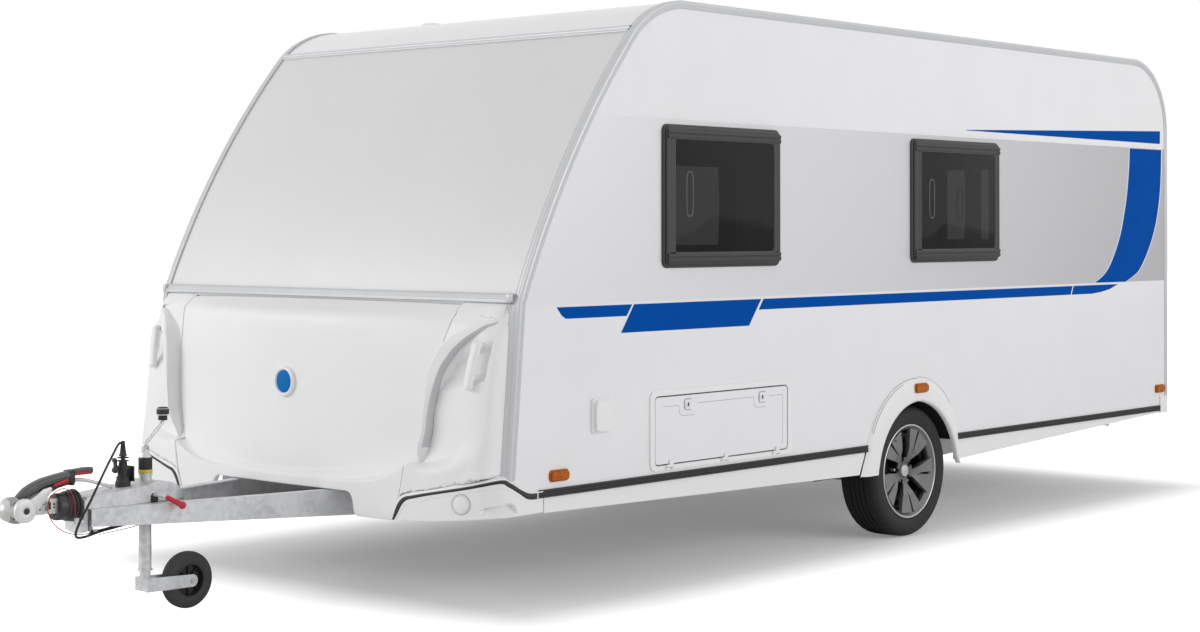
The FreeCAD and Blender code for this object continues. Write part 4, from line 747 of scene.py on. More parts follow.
def make_lid():
    shares = [k / 110 for k in range(-110, 111)]
    columns = [lid_column(u) for u in shares]
    # the sides fold back into the gap
    folds = [[(x - side * 1.5, s + 14, z) if s < -2960 or z < 1180 else (x - side * 1.5, s + 2, z - 12)
              for x, s, z in column] for column, side in ((columns[0], -1), (columns[-1], 1))]
    skin = [[at(*p) for p in column] for column in [folds[0]] + columns + [folds[1]]]
    lid = grid_piece("locker_lid_shell", skin, "moulding_white", body="locker_lid", crisp=50)
    back = [[at(u * 864, LID_BACK, column[-1][2] - 1), at(u * 864, LID_BACK + 0.5, column[-1][2] - 11)]
            for u, column in zip(shares, columns)]
    grid_piece("locker_lid_rear", back, "moulding_white", body="locker_lid")
    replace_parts(lid, "gas_locker_lid")


make_lid()

# the shoulder outside the lid: height, then x and station of three places on the way to the corner, and the
# corner's own station
SHOULDER = [(440, 745, -3066, 960, -3046, 1090, -3012, -2934), (500, 752, -3066, 980, -3042, 1096, -3008, -2926),
            (559, 768, -3060, 1000, -3033, 1100, -3004, -2915), (630, 800, -3012, 1000, -3016, 1097, -2993, -2899),
            (710, 828, -3003, 1000, -3006, 1098, -2984, -2892), (790, 846, -2999, 1000, -2999, 1100, -2975, -2886),
            (939, 892, -2984, 1021, -2978, 1103, -2958, -2874), (1020, 925, -2972, 1035, -2962, 1101, -2944, -2866),
            (1100, 965, -2950, 1052, -2944, 1099, -2924, -2856), (1150, 1004, -2926, 1070, -2920, 1102, -2900, -2850),
            (1190, 1030, -2902, 1085, -2898, 1106, -2880, -2846),
            (1216, 1030, -2880, 1080, -2876, 1104, -2862, -2843),
            (1240, 1030, -2854, 1080, -2850, 1106, -2845, -2841)]
# the eyebrow: height, then x and station of its inner foot, its inner edge, its outer edge and its outer foot
BROW = [(560, 762, -3052, 765, -3053, 769, -3054, 774, -3054), (600, 779, -3030, 783, -3038, 788, -3038, 797, -3026),
        (640, 787, -3008, 791, -3048, 799, -3041, 812, -3008), (680, 806, -3000, 809, -3057, 815, -3047, 822, -3004),
        (730, 826, -2996, 829, -3058, 834, -3050, 837, -3006), (797, 834, -2992, 837, -3058, 845, -3050, 848, -3010),
        (880, 844, -2988, 847, -3056, 864, -3046, 867, -3004), (949, 846, -2984, 854, -3052, 888, -3040, 891, -3006),
        (1000, 849, -2978, 866, -3046, 908, -3030, 912, -2987),
        (1030, 858, -2972, 881, -3038, 926, -3019, 930, -2975),
        (1060, 872, -2966, 896, -3030, 945, -3007, 950, -2966),
        (1100, 908, -2954, 926, -3008, 984, -2985, 996, -2948),
        (1130, 962, -2938, 974, -2974, 1020, -2955, 1046, -2931),
        (1157, 1022, -2918, 1032, -2938, 1066, -2928, 1090, -2905),
        (1168, 1072, -2900, 1078, -2906, 1100, -2894, 1107, -2888),
        (1180, 1096, -2892, 1098, -2892, 1104, -2886, 1110, -2882)]
# the handle's pocket: its corners, and how far each wall runs in
POCKET = [(930, 1036), (1104, 1101), (1090, 936), (984, 904), (858, 884)]
POCKET_WALLS = (34, 20, 12, 50, 12)
POCKET_DEPTH = 30
# the shoulder's foot stands forward of its upper part: x, height of the change, its softness, station below it
FOOT_LINE = [(742, 599, 10, -3084), (760, 600, 12, -3080), (800, 602, 22, -3073), (860, 608, 42, -3064),
             (960, 650, 80, -3046), (1030, 700, 110, -3026), (1100, 730, 140, -2999), (1120, 740, 150, -2972),
             (1128, 750, 150, -2925)]
# the corner cover's top line: x and height
CORNER_TOP = [(690, 392), (700, 412), (716, 446), (732, 469), (784, 485), (885, 503), (1038, 536), (1128, 556),
              (1150, 560)]
CORNER_X = 1128              # where the moulding turns back along the side


def depths_inside(outline, x, z):
    """How far a place lies inside each side of a convex outline, negative outside it."""
    for (ax, az), (bx, bz) in zip(outline, outline[1:] + outline[:1]):
        ex, ez = bx - ax, bz - az
        yield -(ex * (z - az) - ez * (x - ax)) / math.hypot(ex, ez)


def inside_pocket(x, z):
    """How deep a place lies in the handle's pocket, from 0 at its rim to 1."""
    nearest = min(depth / wide for depth, wide in zip(depths_inside(POCKET, x, z), POCKET_WALLS))
    return min(1.0, max(0.0, nearest))


def carried_forward(x, station, z):
    """The shoulder's station once its foot is brought forward to the lip."""
    line, soft, foot = table_at(FOOT_LINE, x)
    return mix(station, min(station, foot), smooth((line - z) / soft))


def bezier(p, q, r, t):
    return between(between(p, q, t), between(q, r, t), t)


def moulding_row(z):
    """Places across the left shoulder at a height, from the lid's gap round to the body's edge."""
    x1, s1, x2, s2, x3, s3, s4 = table_at(SHOULDER, z)
    edge = lid_half(min(z, 1240)) + LID_GAP
    if BROW[0][0] < z < BROW[-1][0]:
        ix, i_s, bx, bs, cx, cs, ox, os_ = table_at(BROW, z)
    else:
        ix, i_s, bx, bs, cx, cs, ox, os_ = x1 - 12, s1, x1 - 9, s1, x1 - 4, s1, x1, s1
    ix = max(ix, edge + 3)
    bx, cx = max(bx, ix + 2), max(cx, ix + 6)
    inner, brow, crest, outer = (ix, i_s), (bx, bs), (cx, cs), (max(ox, cx + 1), os_)
    start = lid_face(edge, z) + 1
    row = [(edge, start + 16), (edge, start + 2), (edge + 1.5, start)]
    # up to the brow, its steep inner wall, its front and the flank down to its outer foot
    for p, q, shares in (((edge + 1.5, start), inner, (0.35, 0.7)), (inner, brow, (0.0, 0.1, 0.5, 0.86, 0.95)),
                         (brow, crest, (0.08, 0.3, 0.7, 1.0)), (crest, outer, (0.05, 0.2, 0.5, 0.8, 0.95, 1.0))):
        row += [between(p, q, t) for t in shares]
    mid = (2 * x2 - (outer[0] + x3) / 2, 2 * s2 - (os_ + s3) / 2)
    for k in range(1, 61):
        x, s = bezier(outer, mid, (x3, s3), k / 60)
        row.append((x, s + POCKET_DEPTH * inside_pocket(x, z)))
    elbow = (CORNER_X - 1, s3 + (s3 - s2) / (x3 - x2) * (CORNER_X - 1 - x3))
    row += [bezier((x3, s3), elbow, (CORNER_X, s4), k / 8) for k in range(1, 9)] + [(CORNER_X, s4 + 40)]
    shift = carried_forward(*row[2], z) - row[2][1]
    return ([(x, s + shift) for x, s in row[:2]]
            + [(x, carried_forward(x, s, z) if x < 1104 else s) for x, s in row[2:]])


def make_moulding():
    heights = [458, 470, 484, 500, 515, 530, 545, 560, 570, 580, 586, *range(589, 613, 2), *range(614, 660, 6),
               *range(664, 880, 12), *range(884, 1112, 4), *range(1114, 1184, 7), 1188, 1192, 1196, 1201, 1206, 1212,
               1219, 1226, 1233, 1240]
    rows = [[at(x, s, max(z, table_at(CORNER_TOP, x)[0] + 2) if s < -2860 else z) for x, s in moulding_row(z)]
            for z in heights]
    left = grid_piece("locker_moulding_left", rows, "moulding_white", crisp=38)
    # the brow's flank gets a greyer colour: painted shade for the darkness in its hollow
    left.data.materials.append(MATS["brow_painted_shade"])
    wide = len(rows[0]) - 1
    for face in left.data.polygons:
        if 13 <= face.index % wide < 19 and 660 < heights[face.index // wide] < 1176:
            face.material_index = 1
    solidify(left, 4, 1)
    mirror_copy("locker_moulding_right", left)
    # the strip behind the lid stays clear of the lid's back edge as the lid swings up
    profile = ((-2850, 1205), (-2863, 1216), (-2863, 1231), (-2865.5, 1237), (-2868, 1242), (-2845, 1243))
    section_piece("locker_shelf_strip", profile, range(-872, 873, 16), "moulding_white", crisp=30)
    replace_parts(left, "front_moulding")


make_moulding()


def make_emblem():
    """Plain enamel disc in a rounded white ring."""
    middle = (at(0, lid_face(0, 890) - 1, 890), (0, -1, 0.02))
    lathe_piece("emblem_ring", [(66, -3), (66, 6), (64, 11), (59, 15), (53, 15), (50, 12.5), (48.5, 9), (48, 7)],
                *middle, "moulding_white", body="locker_lid")
    lathe_piece("emblem_disc", [(48.5, 8), (40, 10), (28, 11.6), (14, 12.6), (0.2, 13)], *middle, "emblem_blue",
                body="locker_lid")


make_emblem()


def grab_handle():
    """Bar with rounded ends over the pocket, on two short feet."""
    top, foot = Vector((1049, -2970, 1078)), Vector((1029, -3000, 914))
    along = (foot - top).normalized()
    out = Vector((0, -1, 0))
    out = (out - along * out.dot(along)).normalized()
    wide = along.cross(out)
    length = (foot - top).length
    n = 30
    rows = []
    for k in range(n + 1):
        d = mix(-17, length + 17, k / n)
        end = min(1, (d + 17) / 17, (length + 17 - d) / 17)
        scale = math.sqrt(max(0.0, 1 - (1 - end) ** 2))
        sweep = 3.5 * math.sin(math.pi * k / n)
        rows.append([at(*(top + along * d + wide * (21 * scale * power(c, 0.8))
                          + out * (15 * scale * power(s, 0.8) + sweep))) for c, s in around(20)])
    parts = [grid_piece("grab_handle_left", rows, "moulding_white", wrap_columns=True)]
    for name, end in (("a", top), ("b", foot)):
        parts.append(lathe_piece("handle_foot_" + name, [(15, 46), (13.5, 30), (12.5, 12), (13, 0), (14, -4)],
                                 at(*end), (0, 1, 0), "moulding_white", n=24))
    handle = merged("grab_handle_left", parts, "moulding_white")
    mirror_copy("grab_handle_right", handle)
    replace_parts(handle, "grab_handles")


grab_handle()


# ------------------------------------------------------------------ outlines of the body
def circle_through(p, q, r):
    ax, ay = q[0] - p[0], q[1] - p[1]
    bx, by = r[0] - p[0], r[1] - p[1]
    d = 2 * (ax * by - ay * bx)
    ux = (by * (ax * ax + ay * ay) - ay * (bx * bx + by * by)) / d
    uy = (ax * (bx * bx + by * by) - bx * (ax * ax + ay * ay)) / d
    return (p[0] + ux, p[1] + uy), math.hypot(ux, uy)


def arc_through(p, q, r, n):
    """n steps along the arc from p over q to r."""
    (cs, cz), radius = circle_through(p, q, r)
    angles = [math.atan2(z - cz, s - cs) for s, z in (p, r)]
    a0, a1 = (a + 2 * math.pi if a < -math.pi / 2 else a for a in angles)
    return [(cs + radius * math.cos(mix(a0, a1, k / n)), cz + radius * math.sin(mix(a0, a1, k / n)))
            for k in range(n + 1)]


NOSE = [(-2840, 1245), (-2541, 1840), (-2148, 2378)]    # the sloping front, from the locker to the roof cap
NOSE_ARC = circle_through(*NOSE)


def nose_station(z, inset=0.0):
    """Station of the body's front edge at a height, moved back by inset."""
    (cs, cz), r = NOSE_ARC
    if z <= 1245:
        return -2840 - (1245 - z) * 65 / 755 + inset
    return cs - math.sqrt(max(0, (r - inset) ** 2 - (z - cz) ** 2))


# ------------------------------------------------------------------ foil on the sides
BAND_LOW, BAND_HIGH = 1231, 2009
BAND_BACK = 2676
DOORWAY = (-1390, -770)
DOOR_GLASS = (-1252, -908)


def box_outline(s0, s1, z0, z1):
    return [(s0, z0), (s1, z0), (s1, z1), (s0, z1)]


def band_outlines(windows):
    """The silver band as strips between the window openings."""
    edges = [s for pair in windows for s in pair]
    front = [(nose_station(z, 24), z) for z in [*range(BAND_LOW, BAND_HIGH, 26), BAND_HIGH]]
    first = edges[0] + 30
    outlines = [[(first, BAND_LOW), (first, BAND_HIGH)] + list(reversed(front))]
    for k in range(0, len(edges), 2):
        s0, s1 = edges[k] + 30, edges[k + 1] - 30
        after = edges[k + 2] + 30 if k + 2 < len(edges) else BAND_BACK
        outlines += [box_outline(s0, s1, BAND_LOW, 1400), box_outline(s0, s1, 1955, BAND_HIGH),
                     box_outline(s1, after, BAND_LOW, BAND_HIGH)]
    return outlines


def spline_through(points, n=8):
    """Smooth line through points (Catmull-Rom)."""
    out = []
    pts = [points[0]] + points + [points[-1]]
    for k in range(1, len(pts) - 2):
        p0, p1, p2, p3 = pts[k - 1:k + 3]
        for j in range(n):
            t = j / n
            out.append(tuple(0.5 * (2 * b + (c - a) * t + (2 * a - 5 * b + 4 * c - d) * t * t
                                    + (3 * b - a - 3 * c + d) * t ** 3) for a, b, c, d in zip(p0, p1, p2, p3)))
    return out + [points[-1]]


def strips_between(a, b, extra=0):
    """Quads between two lines, each moved away from the other by extra along the stations."""
    a, b = [(s - extra, z) for s, z in a], [(s + extra, z) for s, z in b]
    return [[a[k], a[k + 1], b[k + 1], b[k]] for k in range(len(a) - 1)]


SWEEP = [spline_through(line) for line in (
    [(2241, 2004), (2232, 1880), (2200, 1710), (2130, 1510), (2030, 1360), (1940, 1280), (1823, 1232)],
    [(2637, 2005), (2622, 1780), (2573, 1590), (2490, 1440), (2369, 1307), (2280, 1262), (2188, 1231)])]
BELT = [
    [(-2629, 1219), (-2600, 1186), (-2574, 1171), (-2199, 1171), (-2163, 1219)],
    [(-2151, 1219), (-2235, 1101), (-1362, 1101), (-1272, 1219)],
    [(-1255, 1219), (-1291, 1171), (1548, 1171), (1572, 1219)],
    [(1584, 1219), (1560, 1171), (1791, 1171), (1900, 1179), (2000, 1193), (2097, 1219)],
]
WEDGE = [(470, 2048), (472, 2045), (2620, 2041), (2622, 2117)]


def side_foil(side, sign, windows):
    high = BAND_HIGH + 5
    band, belt = band_outlines(windows), BELT
    lines = [[(nose_station(BAND_HIGH, 24), BAND_HIGH), (BAND_BACK, BAND_HIGH), (BAND_BACK, high),
              (nose_station(high, 24), high)]]
    if side == "right":
        band, belt, lines = ([clip(p, DOORWAY[0] - 24, True) for p in polys]
                             + [clip(p, DOORWAY[1] + 24, False) for p in polys] for polys in (band, belt, lines))
    for name, polys, out, material, slot in (
            ("silver_band_", band, 0.5, "band_silver", "panel_silver"),
            ("belt_", belt, 0.7, "stripe_blue", "panel_white"),
            ("wedge_", [WEDGE], 0.7, "stripe_blue", "panel_white"),
            ("sweep_rim_", strips_between(*SWEEP, 9), 0.7, "stripe_white", "panel_white"),
            ("sweep_", strips_between(*SWEEP), 0.9, "stripe_blue", "panel_white"),
            ("band_line_", lines, 0.7, "stripe_white", "panel_white")):
        decal(name + side, polys, side_place(sign, out), material, slot=slot)


side_foil("left", 1, [(-1972, -1145), (-57, 770)])
side_foil("right", -1, [(-2270, -1650), (620, 1447)])


def door_foil():
    s0, s1 = DOORWAY[0] + 18, DOORWAY[1] - 18
    band = [box_outline(s0, s1, BAND_LOW, 1552), box_outline(s0, DOOR_GLASS[0] + 16, 1552, BAND_HIGH),
            box_outline(DOOR_GLASS[1] - 16, s1, 1552, BAND_HIGH)]
    belt = [clip(clip(p, s1, True), s0, False) for p in BELT]
    for name, polys, material in (("silver_band_door", band, "band_silver"), ("belt_door", belt, "stripe_blue")):
        decal(name, polys, side_place(-1, 4.6), material, body="door")


door_foil()


# ------------------------------------------------------------------ windows
FRAME_PROFILE = [(-1, 0), (-1, 7), (1, 10.5), (5, 12.5), (12, 13), (15, 11), (17, 8.5), (22, 8.5), (25, 12), (33, 13),
                 (39, 11), (41, 6), (41, -26)]
PANE_PROFILE = [(0, 14), (0, 19), (2, 22.5), (6, 24.5), (11, 25.5), (24, 25.8), (27, 24), (32, 24), (35, 25.8),
                (54, 25.8), (56, 24.6), (58, 18)]


def window_piece(name, box, place):
    """Frame and acrylic pane with its stepped border. box is along, then up; place gives points."""
    a0, a1, b0, b1 = box
    parts = [rim_piece(name + "_frame", rounded_path(a0, a1, b0, b1, 30), FRAME_PROFILE, place, "window_frame"),
             rim_piece(name + "_border", rounded_path(a0 + 10, a1 - 10, b0 + 12, b1 - 8, 26), PANE_PROFILE, place,
                       "window_frame")]
    # raised bars across its head and its foot, and one up its side
    for k, (low, high) in enumerate(((b1 - 62, b1 - 22), (b0 + 22, b0 + 62))):
        rows = [[place(a, b, h) for a in (a0 + 14, a0 + 18, a0 + 60, (a0 + a1) / 2, a1 - 60, a1 - 18, a1 - 14)]
                for b, h in ((low, 24), (low + 3, 28.5), (low + 10, 30), (low + 18, 29), (low + 20, 26.5),
                             (low + 24, 26.5), (low + 26, 29.5), (low + 34, 30), (high - 2, 28.5), (high, 24))]
        parts.append(grid_piece("%s_rail_%d" % (name, k), rows, "window_frame"))
    rows = [[place(a1 - a, b, h) for b in (b0 + 56, b0 + 60, (b0 + b1) / 2, b1 - 60, b1 - 56)]
            for a, h in ((66, 24), (63, 27.5), (56, 28.5), (50, 27), (48, 25.9))]
    parts.append(grid_piece(name + "_rail_side", rows, "window_frame"))
    whole = merged(name + "_frame", parts, "window_frame")
    pane = rim_piece(name + "_pane", rounded_path(a0 + 62, a1 - 62, b0 + 62, b1 - 60, 22),
                     [(-6, 22), (0, 25.2), (3, 25.4)], place, "window_pane", cap=True)
    sharp(pane, 8)
    # loop handle on the pane
    loop = [(a0 + 160 + 22 * power(c, 0.6), (b0 + b1) / 2 + 10 + 96 * power(s, 0.35)) for c, s in around(24, 25)]
    rows = []
    for k, (u, v) in enumerate(loop[:-1]):
        (pu, pv), (qu, qv) = loop[k - 1], loop[(k + 1) % 24]
        length = math.hypot(qu - pu, qv - pv)
        nu, nv = (qv - pv) / length, -(qu - pu) / length
        rows.append([place(u + nu * r, v + nv * r, h)
                     for r, h in ((-4, 25), (-3, 27.5), (0, 28.6), (3, 27.5), (4, 25))])
    grid_piece(name + "_loop", rows, "fitting_grey", wrap_rows=True, slot="black_plastic")
    # lighter grey ring a little raised round the pane: painted highlight along the pane's edge
    rim_piece(name + "_edge", rounded_path(a0 + 60, a1 - 60, b0 + 60, b1 - 58, 23),
              [(0, 25.4), (1.2, 27), (3, 27), (4.4, 25.2)], place, "fitting_grey", slot="black_plastic")
    return whole, pane


WINDOWS = [window_piece("window_" + name, box, place) for name, box, place in (
    ("front_left", (-1972, -1145, 1369, 1986), side_place(1)),
    ("mid_left", (-57, 770, 1369, 1986), side_place(1)),
    ("front_right", (-2270, -1650, 1369, 1986), side_place(-1)),
    ("mid_right", (620, 1447, 1369, 1986), side_place(-1)),
    ("rear", (-450, 450, 1400, 1980), rear_place))]
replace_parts(WINDOWS[0][0], "window_frames")
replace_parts(WINDOWS[0][1], "window_panes")


def curtain(name, a0, a1, sign, folds):
    """Pleated curtain inside a window, hung from its head. The cloth was cut wider than it hangs."""
    foot, head = 1330, 2000             # heights of its ends
    hang, deep = -70, 11                # its place behind the wall's face, half the depth of its folds
    place = side_place(sign)
    rows = []
    for j in range(18):
        t = j / 17
        row = []
        for k in range(folds * 10 + 1):
            u = k / (folds * 10)
            swing = math.sin(2 * math.pi * folds * u + 0.7 * math.sin(5 * u + t))
            gather = 1 - 0.12 * math.sin(math.pi * t) * (1 - u)
            row.append(place(a1 - (1 - u) * (a1 - a0) * gather, mix(head, foot, t),
                             hang + deep * (0.75 + 0.25 * t) * swing))
        rows.append(row)
    obj = grid_piece(name, rows, "curtain_cloth", slot="window_frame")


curtain("curtain_front_left", -1390, -1190, 1, 5)
curtain("curtain_mid_left", 545, 735, 1, 5)
curtain("curtain_front_right", -1850, -1690, -1, 4)
curtain("curtain_mid_right", 1230, 1405, -1, 4)


# ------------------------------------------------------------------ edge rails
def body_path():
    """The body's side profile from the nose's foot over the roof to the tail's foot, with outward normals."""
    # the roof's height and front end, the radius of its rear corner, the rear wall's foot
    crown, roof_front, bow, foot = 2520, -1837, 400, 546
    points = [(-2900.3 + 60.3 * k / 8, 545 + 700 * k / 8) for k in range(9)] + arc_through(*NOSE, 40)[1:]
    points += arc_through(NOSE[2], (-1998, 2479), (roof_front, crown), 12)[1:]
    points += [(roof_front + (TAIL - bow - roof_front) * k / 30, crown) for k in range(1, 31)]
    halfway = (TAIL - bow + bow * math.sin(math.pi / 4), crown - bow + bow * math.cos(math.pi / 4))
    points += arc_through((TAIL - bow, crown), halfway, (TAIL, crown - bow), 16)[1:]
    points += [(TAIL, crown - bow + (foot - crown + bow) * k / 12) for k in range(1, 13)]
    path = []
    for k, p in enumerate(points):
        q, r = points[max(0, k - 1)], points[min(len(points) - 1, k + 1)]
        ds, dz = r[0] - q[0], r[1] - q[1]
        length = math.hypot(ds, dz)
        path.append((p[0], p[1], -dz / length, ds / length))
    return path


# across a rail: how far inside the body's outline, and how far out from the side's face
RAIL = [(30, 0.3), (30, 2.6), (28.5, 4.2), (26, 4.6), (24.5, 3.4), (22, 3.4), (20.5, 5.2), (14, 5.8), (12.5, 4.2),
        (10, 4.2), (8.5, 6), (1, 6), (-2.5, 4.5), (-4.5, 2.5), (-6, 0), (-6, -9), (-4.5, -10.5), (-4.5, -13),
        (-6, -14.5), (-6, -27), (-4.6, -28.5), (-4.6, -31), (-6, -32.5), (-6, -43), (-4.6, -44.5), (-4.6, -47),
        (-6, -48.5), (-6, -55), (-4, -59), (2, -60)]


def edge_rails():
    rows = []
    for s, z, ns, nz in body_path():
        # beside the locker its front slants forward to meet the moulding
        beside = smooth((1262 - z) / 70) if s < 0 else 0
        width = 34 + 26 * beside
        row = [(d - (38 * beside * min(1, -h / 59) if d < 0 and h < 0 else 0), max(h, -width)) for d, h in RAIL]
        rows.append([at(HALF + h, s - ns * d, z - nz * d) for d, h in row])
    left = grid_piece("edge_rail_left", rows, "trim_grey", crisp=32)
    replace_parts(left, "edge_trims")
    mirror_copy("edge_rail_right", left)


edge_rails()


def cross_rails():
    """The rail above the locker and the one below the roof cap, each with a shadow line under it."""
    xs = (-1132, -1130, -600, 0, 600, 1130, 1132)
    low = section_piece("cross_rail_low", [
        (-2852, 1242), (-2864, 1241), (-2869, 1245), (-2868.5, 1256), (-2865, 1259), (-2863, 1264), (-2860, 1266),
        (-2857, 1272), (-2850, 1276), (-2836, 1279)], xs, "trim_grey", crisp=30)
    (cs, cz), r = NOSE_ARC
    top = math.atan2(NOSE[2][1] - cz, NOSE[2][0] - cs)
    profile = [(cs + (r + proud) * math.cos(top - along / r), cz + (r + proud) * math.sin(top - along / r))
               for along, proud in ((-12, 0), (-12, 6), (-9, 9), (-2, 9.5), (1, 7), (4, 7), (7, 9.5), (18, 9),
                                    (23, 5), (25, 0))]
    section_piece("cross_rail_high", profile, xs, "trim_grey", crisp=30)
    for side, x in (("r", -1134), ("l", 1110)):
        soft_box("rail_cap_" + side, (x, -2874, 1243), (24, 26, 36), 5, "trim_grey")
    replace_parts(low, "cross_trims")


cross_rails()


# ------------------------------------------------------------------ wheel arches, and the CAD pieces' soft edges
# outer and inner edge of the left arch, from the front foot over the top to the rear foot
ARCH_OUTER = [(-490, 342), (-484, 354), (-470, 388), (-455, 422),
              *arc_through((-442, 452), (-340, 660), (0, 802), 22),
              *arc_through((0, 802), (252, 704), (352, 552), 20)[1:],
              (362, 470), (370, 400), (378, 352), (380, 339)]
ARCH_INNER = [(-352, 342), (-351, 352), (-350, 364), (-348, 372),
              *arc_through((-346, 376), (-242, 570), (0, 676), 22),
              *arc_through((0, 676), (242, 570), (338, 402), 20)[1:],
              (344, 380), (350, 364), (360, 348), (372, 339)]
ARCH_PROFILE = [(0, 0.2), (0, 3.2), (0.015, 4.6), (0.05, 5), (0.065, 3.6), (0.085, 3.6), (0.10, 6), (0.17, 12.5),
                (0.26, 18), (0.36, 21), (0.46, 22), (0.75, 22), (0.88, 21), (0.95, 18), (0.985, 12), (1, 4), (1, -3)]


def wheel_arches():
    edges = list(zip(ARCH_OUTER, ARCH_INNER))
    rows = [[at(HALF + h, *between(p, q, t)) for t, h in ARCH_PROFILE] for p, q in edges]
    parts = [grid_piece("wheel_arch_left", rows, "moulding_white", crisp=40)]
    for k, row in enumerate((rows[0], rows[-1])):
        base = [Vector((HALF / 1000, p.y, p.z)) for p in row]
        parts.append(grid_piece("arch_foot_%d" % k, [row[1:15], base[1:15]], "moulding_white"))
    # fine lines moulded beside its outer edge, as raised rods whose grey is painted shade of the moulded lines
    for k, (t, h, first, last) in enumerate(((0.075, 4.6, 8, 27), (0.15, 11, 8, 22), (0.03, 4.8, 26, 42))):
        route = [(HALF + h, *between(p, q, t)) for p, q in edges][first:last]
        parts.append(rod_piece("arch_line_%d" % k, route, 1.5, "seam_grey"))
    whole = merged("wheel_arch_left", parts, "moulding_white")
    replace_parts(whole, "wheel_arches")
    mirror_copy("wheel_arch_right", whole)


wheel_arches()
# node, width of its soft edges in millimetres, steps across them
SOFT_EDGES = (("skirts", 7, 4), ("rear_bumper", 10, 4), ("overrun_housing", 5, 3), ("chassis_member_left", 3, 2),
              ("chassis_member_right", 3, 2), ("cross_members", 2, 1), ("axle_beam", 2, 1), ("swing_arms", 3, 2),
              ("steady_bases", 1, 1), ("jockey_fork", 1.2, 2), ("flap_frame", 2.5, 3), ("entrance_door", 2, 2),
              ("service_flap", 1.5, 2), ("door_frame", 2, 2), ("wall_fittings", 1.6, 2), ("roof_fittings", 5, 3),
              ("door_window", 3, 3))
for name, width, segments in SOFT_EDGES:
    bevel(nodes[name], width, segments, 35)
nodes["wheel_housings"].data.materials[0] = MATS["black_plastic"]


# ------------------------------------------------------------------ wheels
# half of the tyre's section, from the bead round the wall and the tread: radius, distance from its middle
TYRE = [(216, 88), (226, 90), (231, 93), (235, 97), (241, 100.5), (243, 99.5), (252, 103), (266, 106.4), (279, 107.4),
        (291, 106.6), (299, 104.8), (300, 103.2), (303, 103), (304.5, 103.6), (311, 99), (317, 93), (321, 86),
        (324, 76), (325.6, 62), (325.8, 46), (318.5, 44.5), (318.5, 37.5), (326, 36), (326, 19), (318.5, 17.5),
        (318.5, 9.5), (326, 8)]


def sipe_depth(k, r, x):
    """Depth of the cuts across the shoulder blocks, the shoulders and the ribs at step k round the tyre."""
    if r > 323 and abs(x) > 47:
        return 3.5 if k % 5 == 0 else 0.0
    if r > 312 and abs(x) > 84:
        return 2.0 if k % 5 == 0 else 0.0
    if r > 325 and abs(x) < 37:
        return 2.5 if (k + (2 if x > 0 else 0)) % 5 == 0 else 0.0
    return 0.0


def wheel_tyre(side, sign):
    """The whole tyre: its section turned round the hub in fine steps, with the cuts between its blocks."""
    profile = TYRE + [(r, -x) for r, x in reversed(TYRE)]
    rows = []
    for k, (c, s) in enumerate(around(220)):
        row = [(r - sipe_depth(k, r, x), x) for r, x in profile]
        rows.append([at(sign * (WHEEL_X + x), r * s, WHEEL_R + r * c) for r, x in row])
    obj = grid_piece("tyre_tread_" + side, rows, "tyre", wrap_rows=True, body="wheel_" + side, crisp=38)
    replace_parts(obj, "tyre_" + side)


def dress_wheel(side, sign):
    body = "wheel_" + side
    rim = nodes["rim_" + side]
    rim.data.materials[0] = MATS["alloy_darker_inward"]
    # the rim's bevelled edges take the bright alloy: painted highlight along the rim's edges
    rim.data.materials.append(MATS["alloy_bright"])
    bevel(rim, 2.2, 2, 32).material = 1
    hub = at(sign * WHEEL_X, 0, WHEEL_R)
    axis = (sign, 0, 0)
    lathe_piece("rim_lip_" + side, [(225.5, 99), (227, 101.6), (231, 102), (234, 100), (234.2, 96), (232, 94)],
                hub, axis, "alloy_bright", n=96, body=body, slot="alloy")
    lathe_piece("hub_cap_" + side, [(30, 62), (30, 68), (28, 72.5), (25, 73.5), (23, 72), (21, 72.6), (10, 74.2),
                                    (0.2, 74.6)], hub, axis, "alloy_bright", body=body, slot="alloy")
    # five bolts on a circle of 56 millimetres radius
    bolts = []
    for k in range(5):
        a = math.radians(30 + k * 72)
        bolts.append(lathe_piece("wheel_bolt_%s_%d" % (side, k), [(9.5, 24), (9.5, 44), (8.5, 47), (5, 48.5), (4, 46),
                                                                 (0.2, 46)],
                                 hub + Vector((0, 56 * math.cos(a), 56 * math.sin(a))) / 1000, axis, "steel_zinc",
                                 n=6, body=body))
    merged("wheel_bolts_" + side, bolts, "steel_zinc", body)
    lathe_piece("valve_" + side, [(3.6, 60), (3.6, 82), (4.4, 84), (4.4, 94), (3, 96), (0.2, 96)],
                hub + Vector((0, 0.196 * math.cos(2.2), 0.196 * math.sin(2.2))), axis, "rubber", n=16, body=body)


for side, sign in (("left", 1), ("right", -1)):
    wheel_tyre(side, sign)
for side, sign in (("left", 1), ("right", -1)):
    dress_wheel(side, sign)


def mirrored(profile):
    """A (radius, along) profile with its mirror image beyond its end."""
    return profile + [(r, -x) for r, x in reversed(profile)]


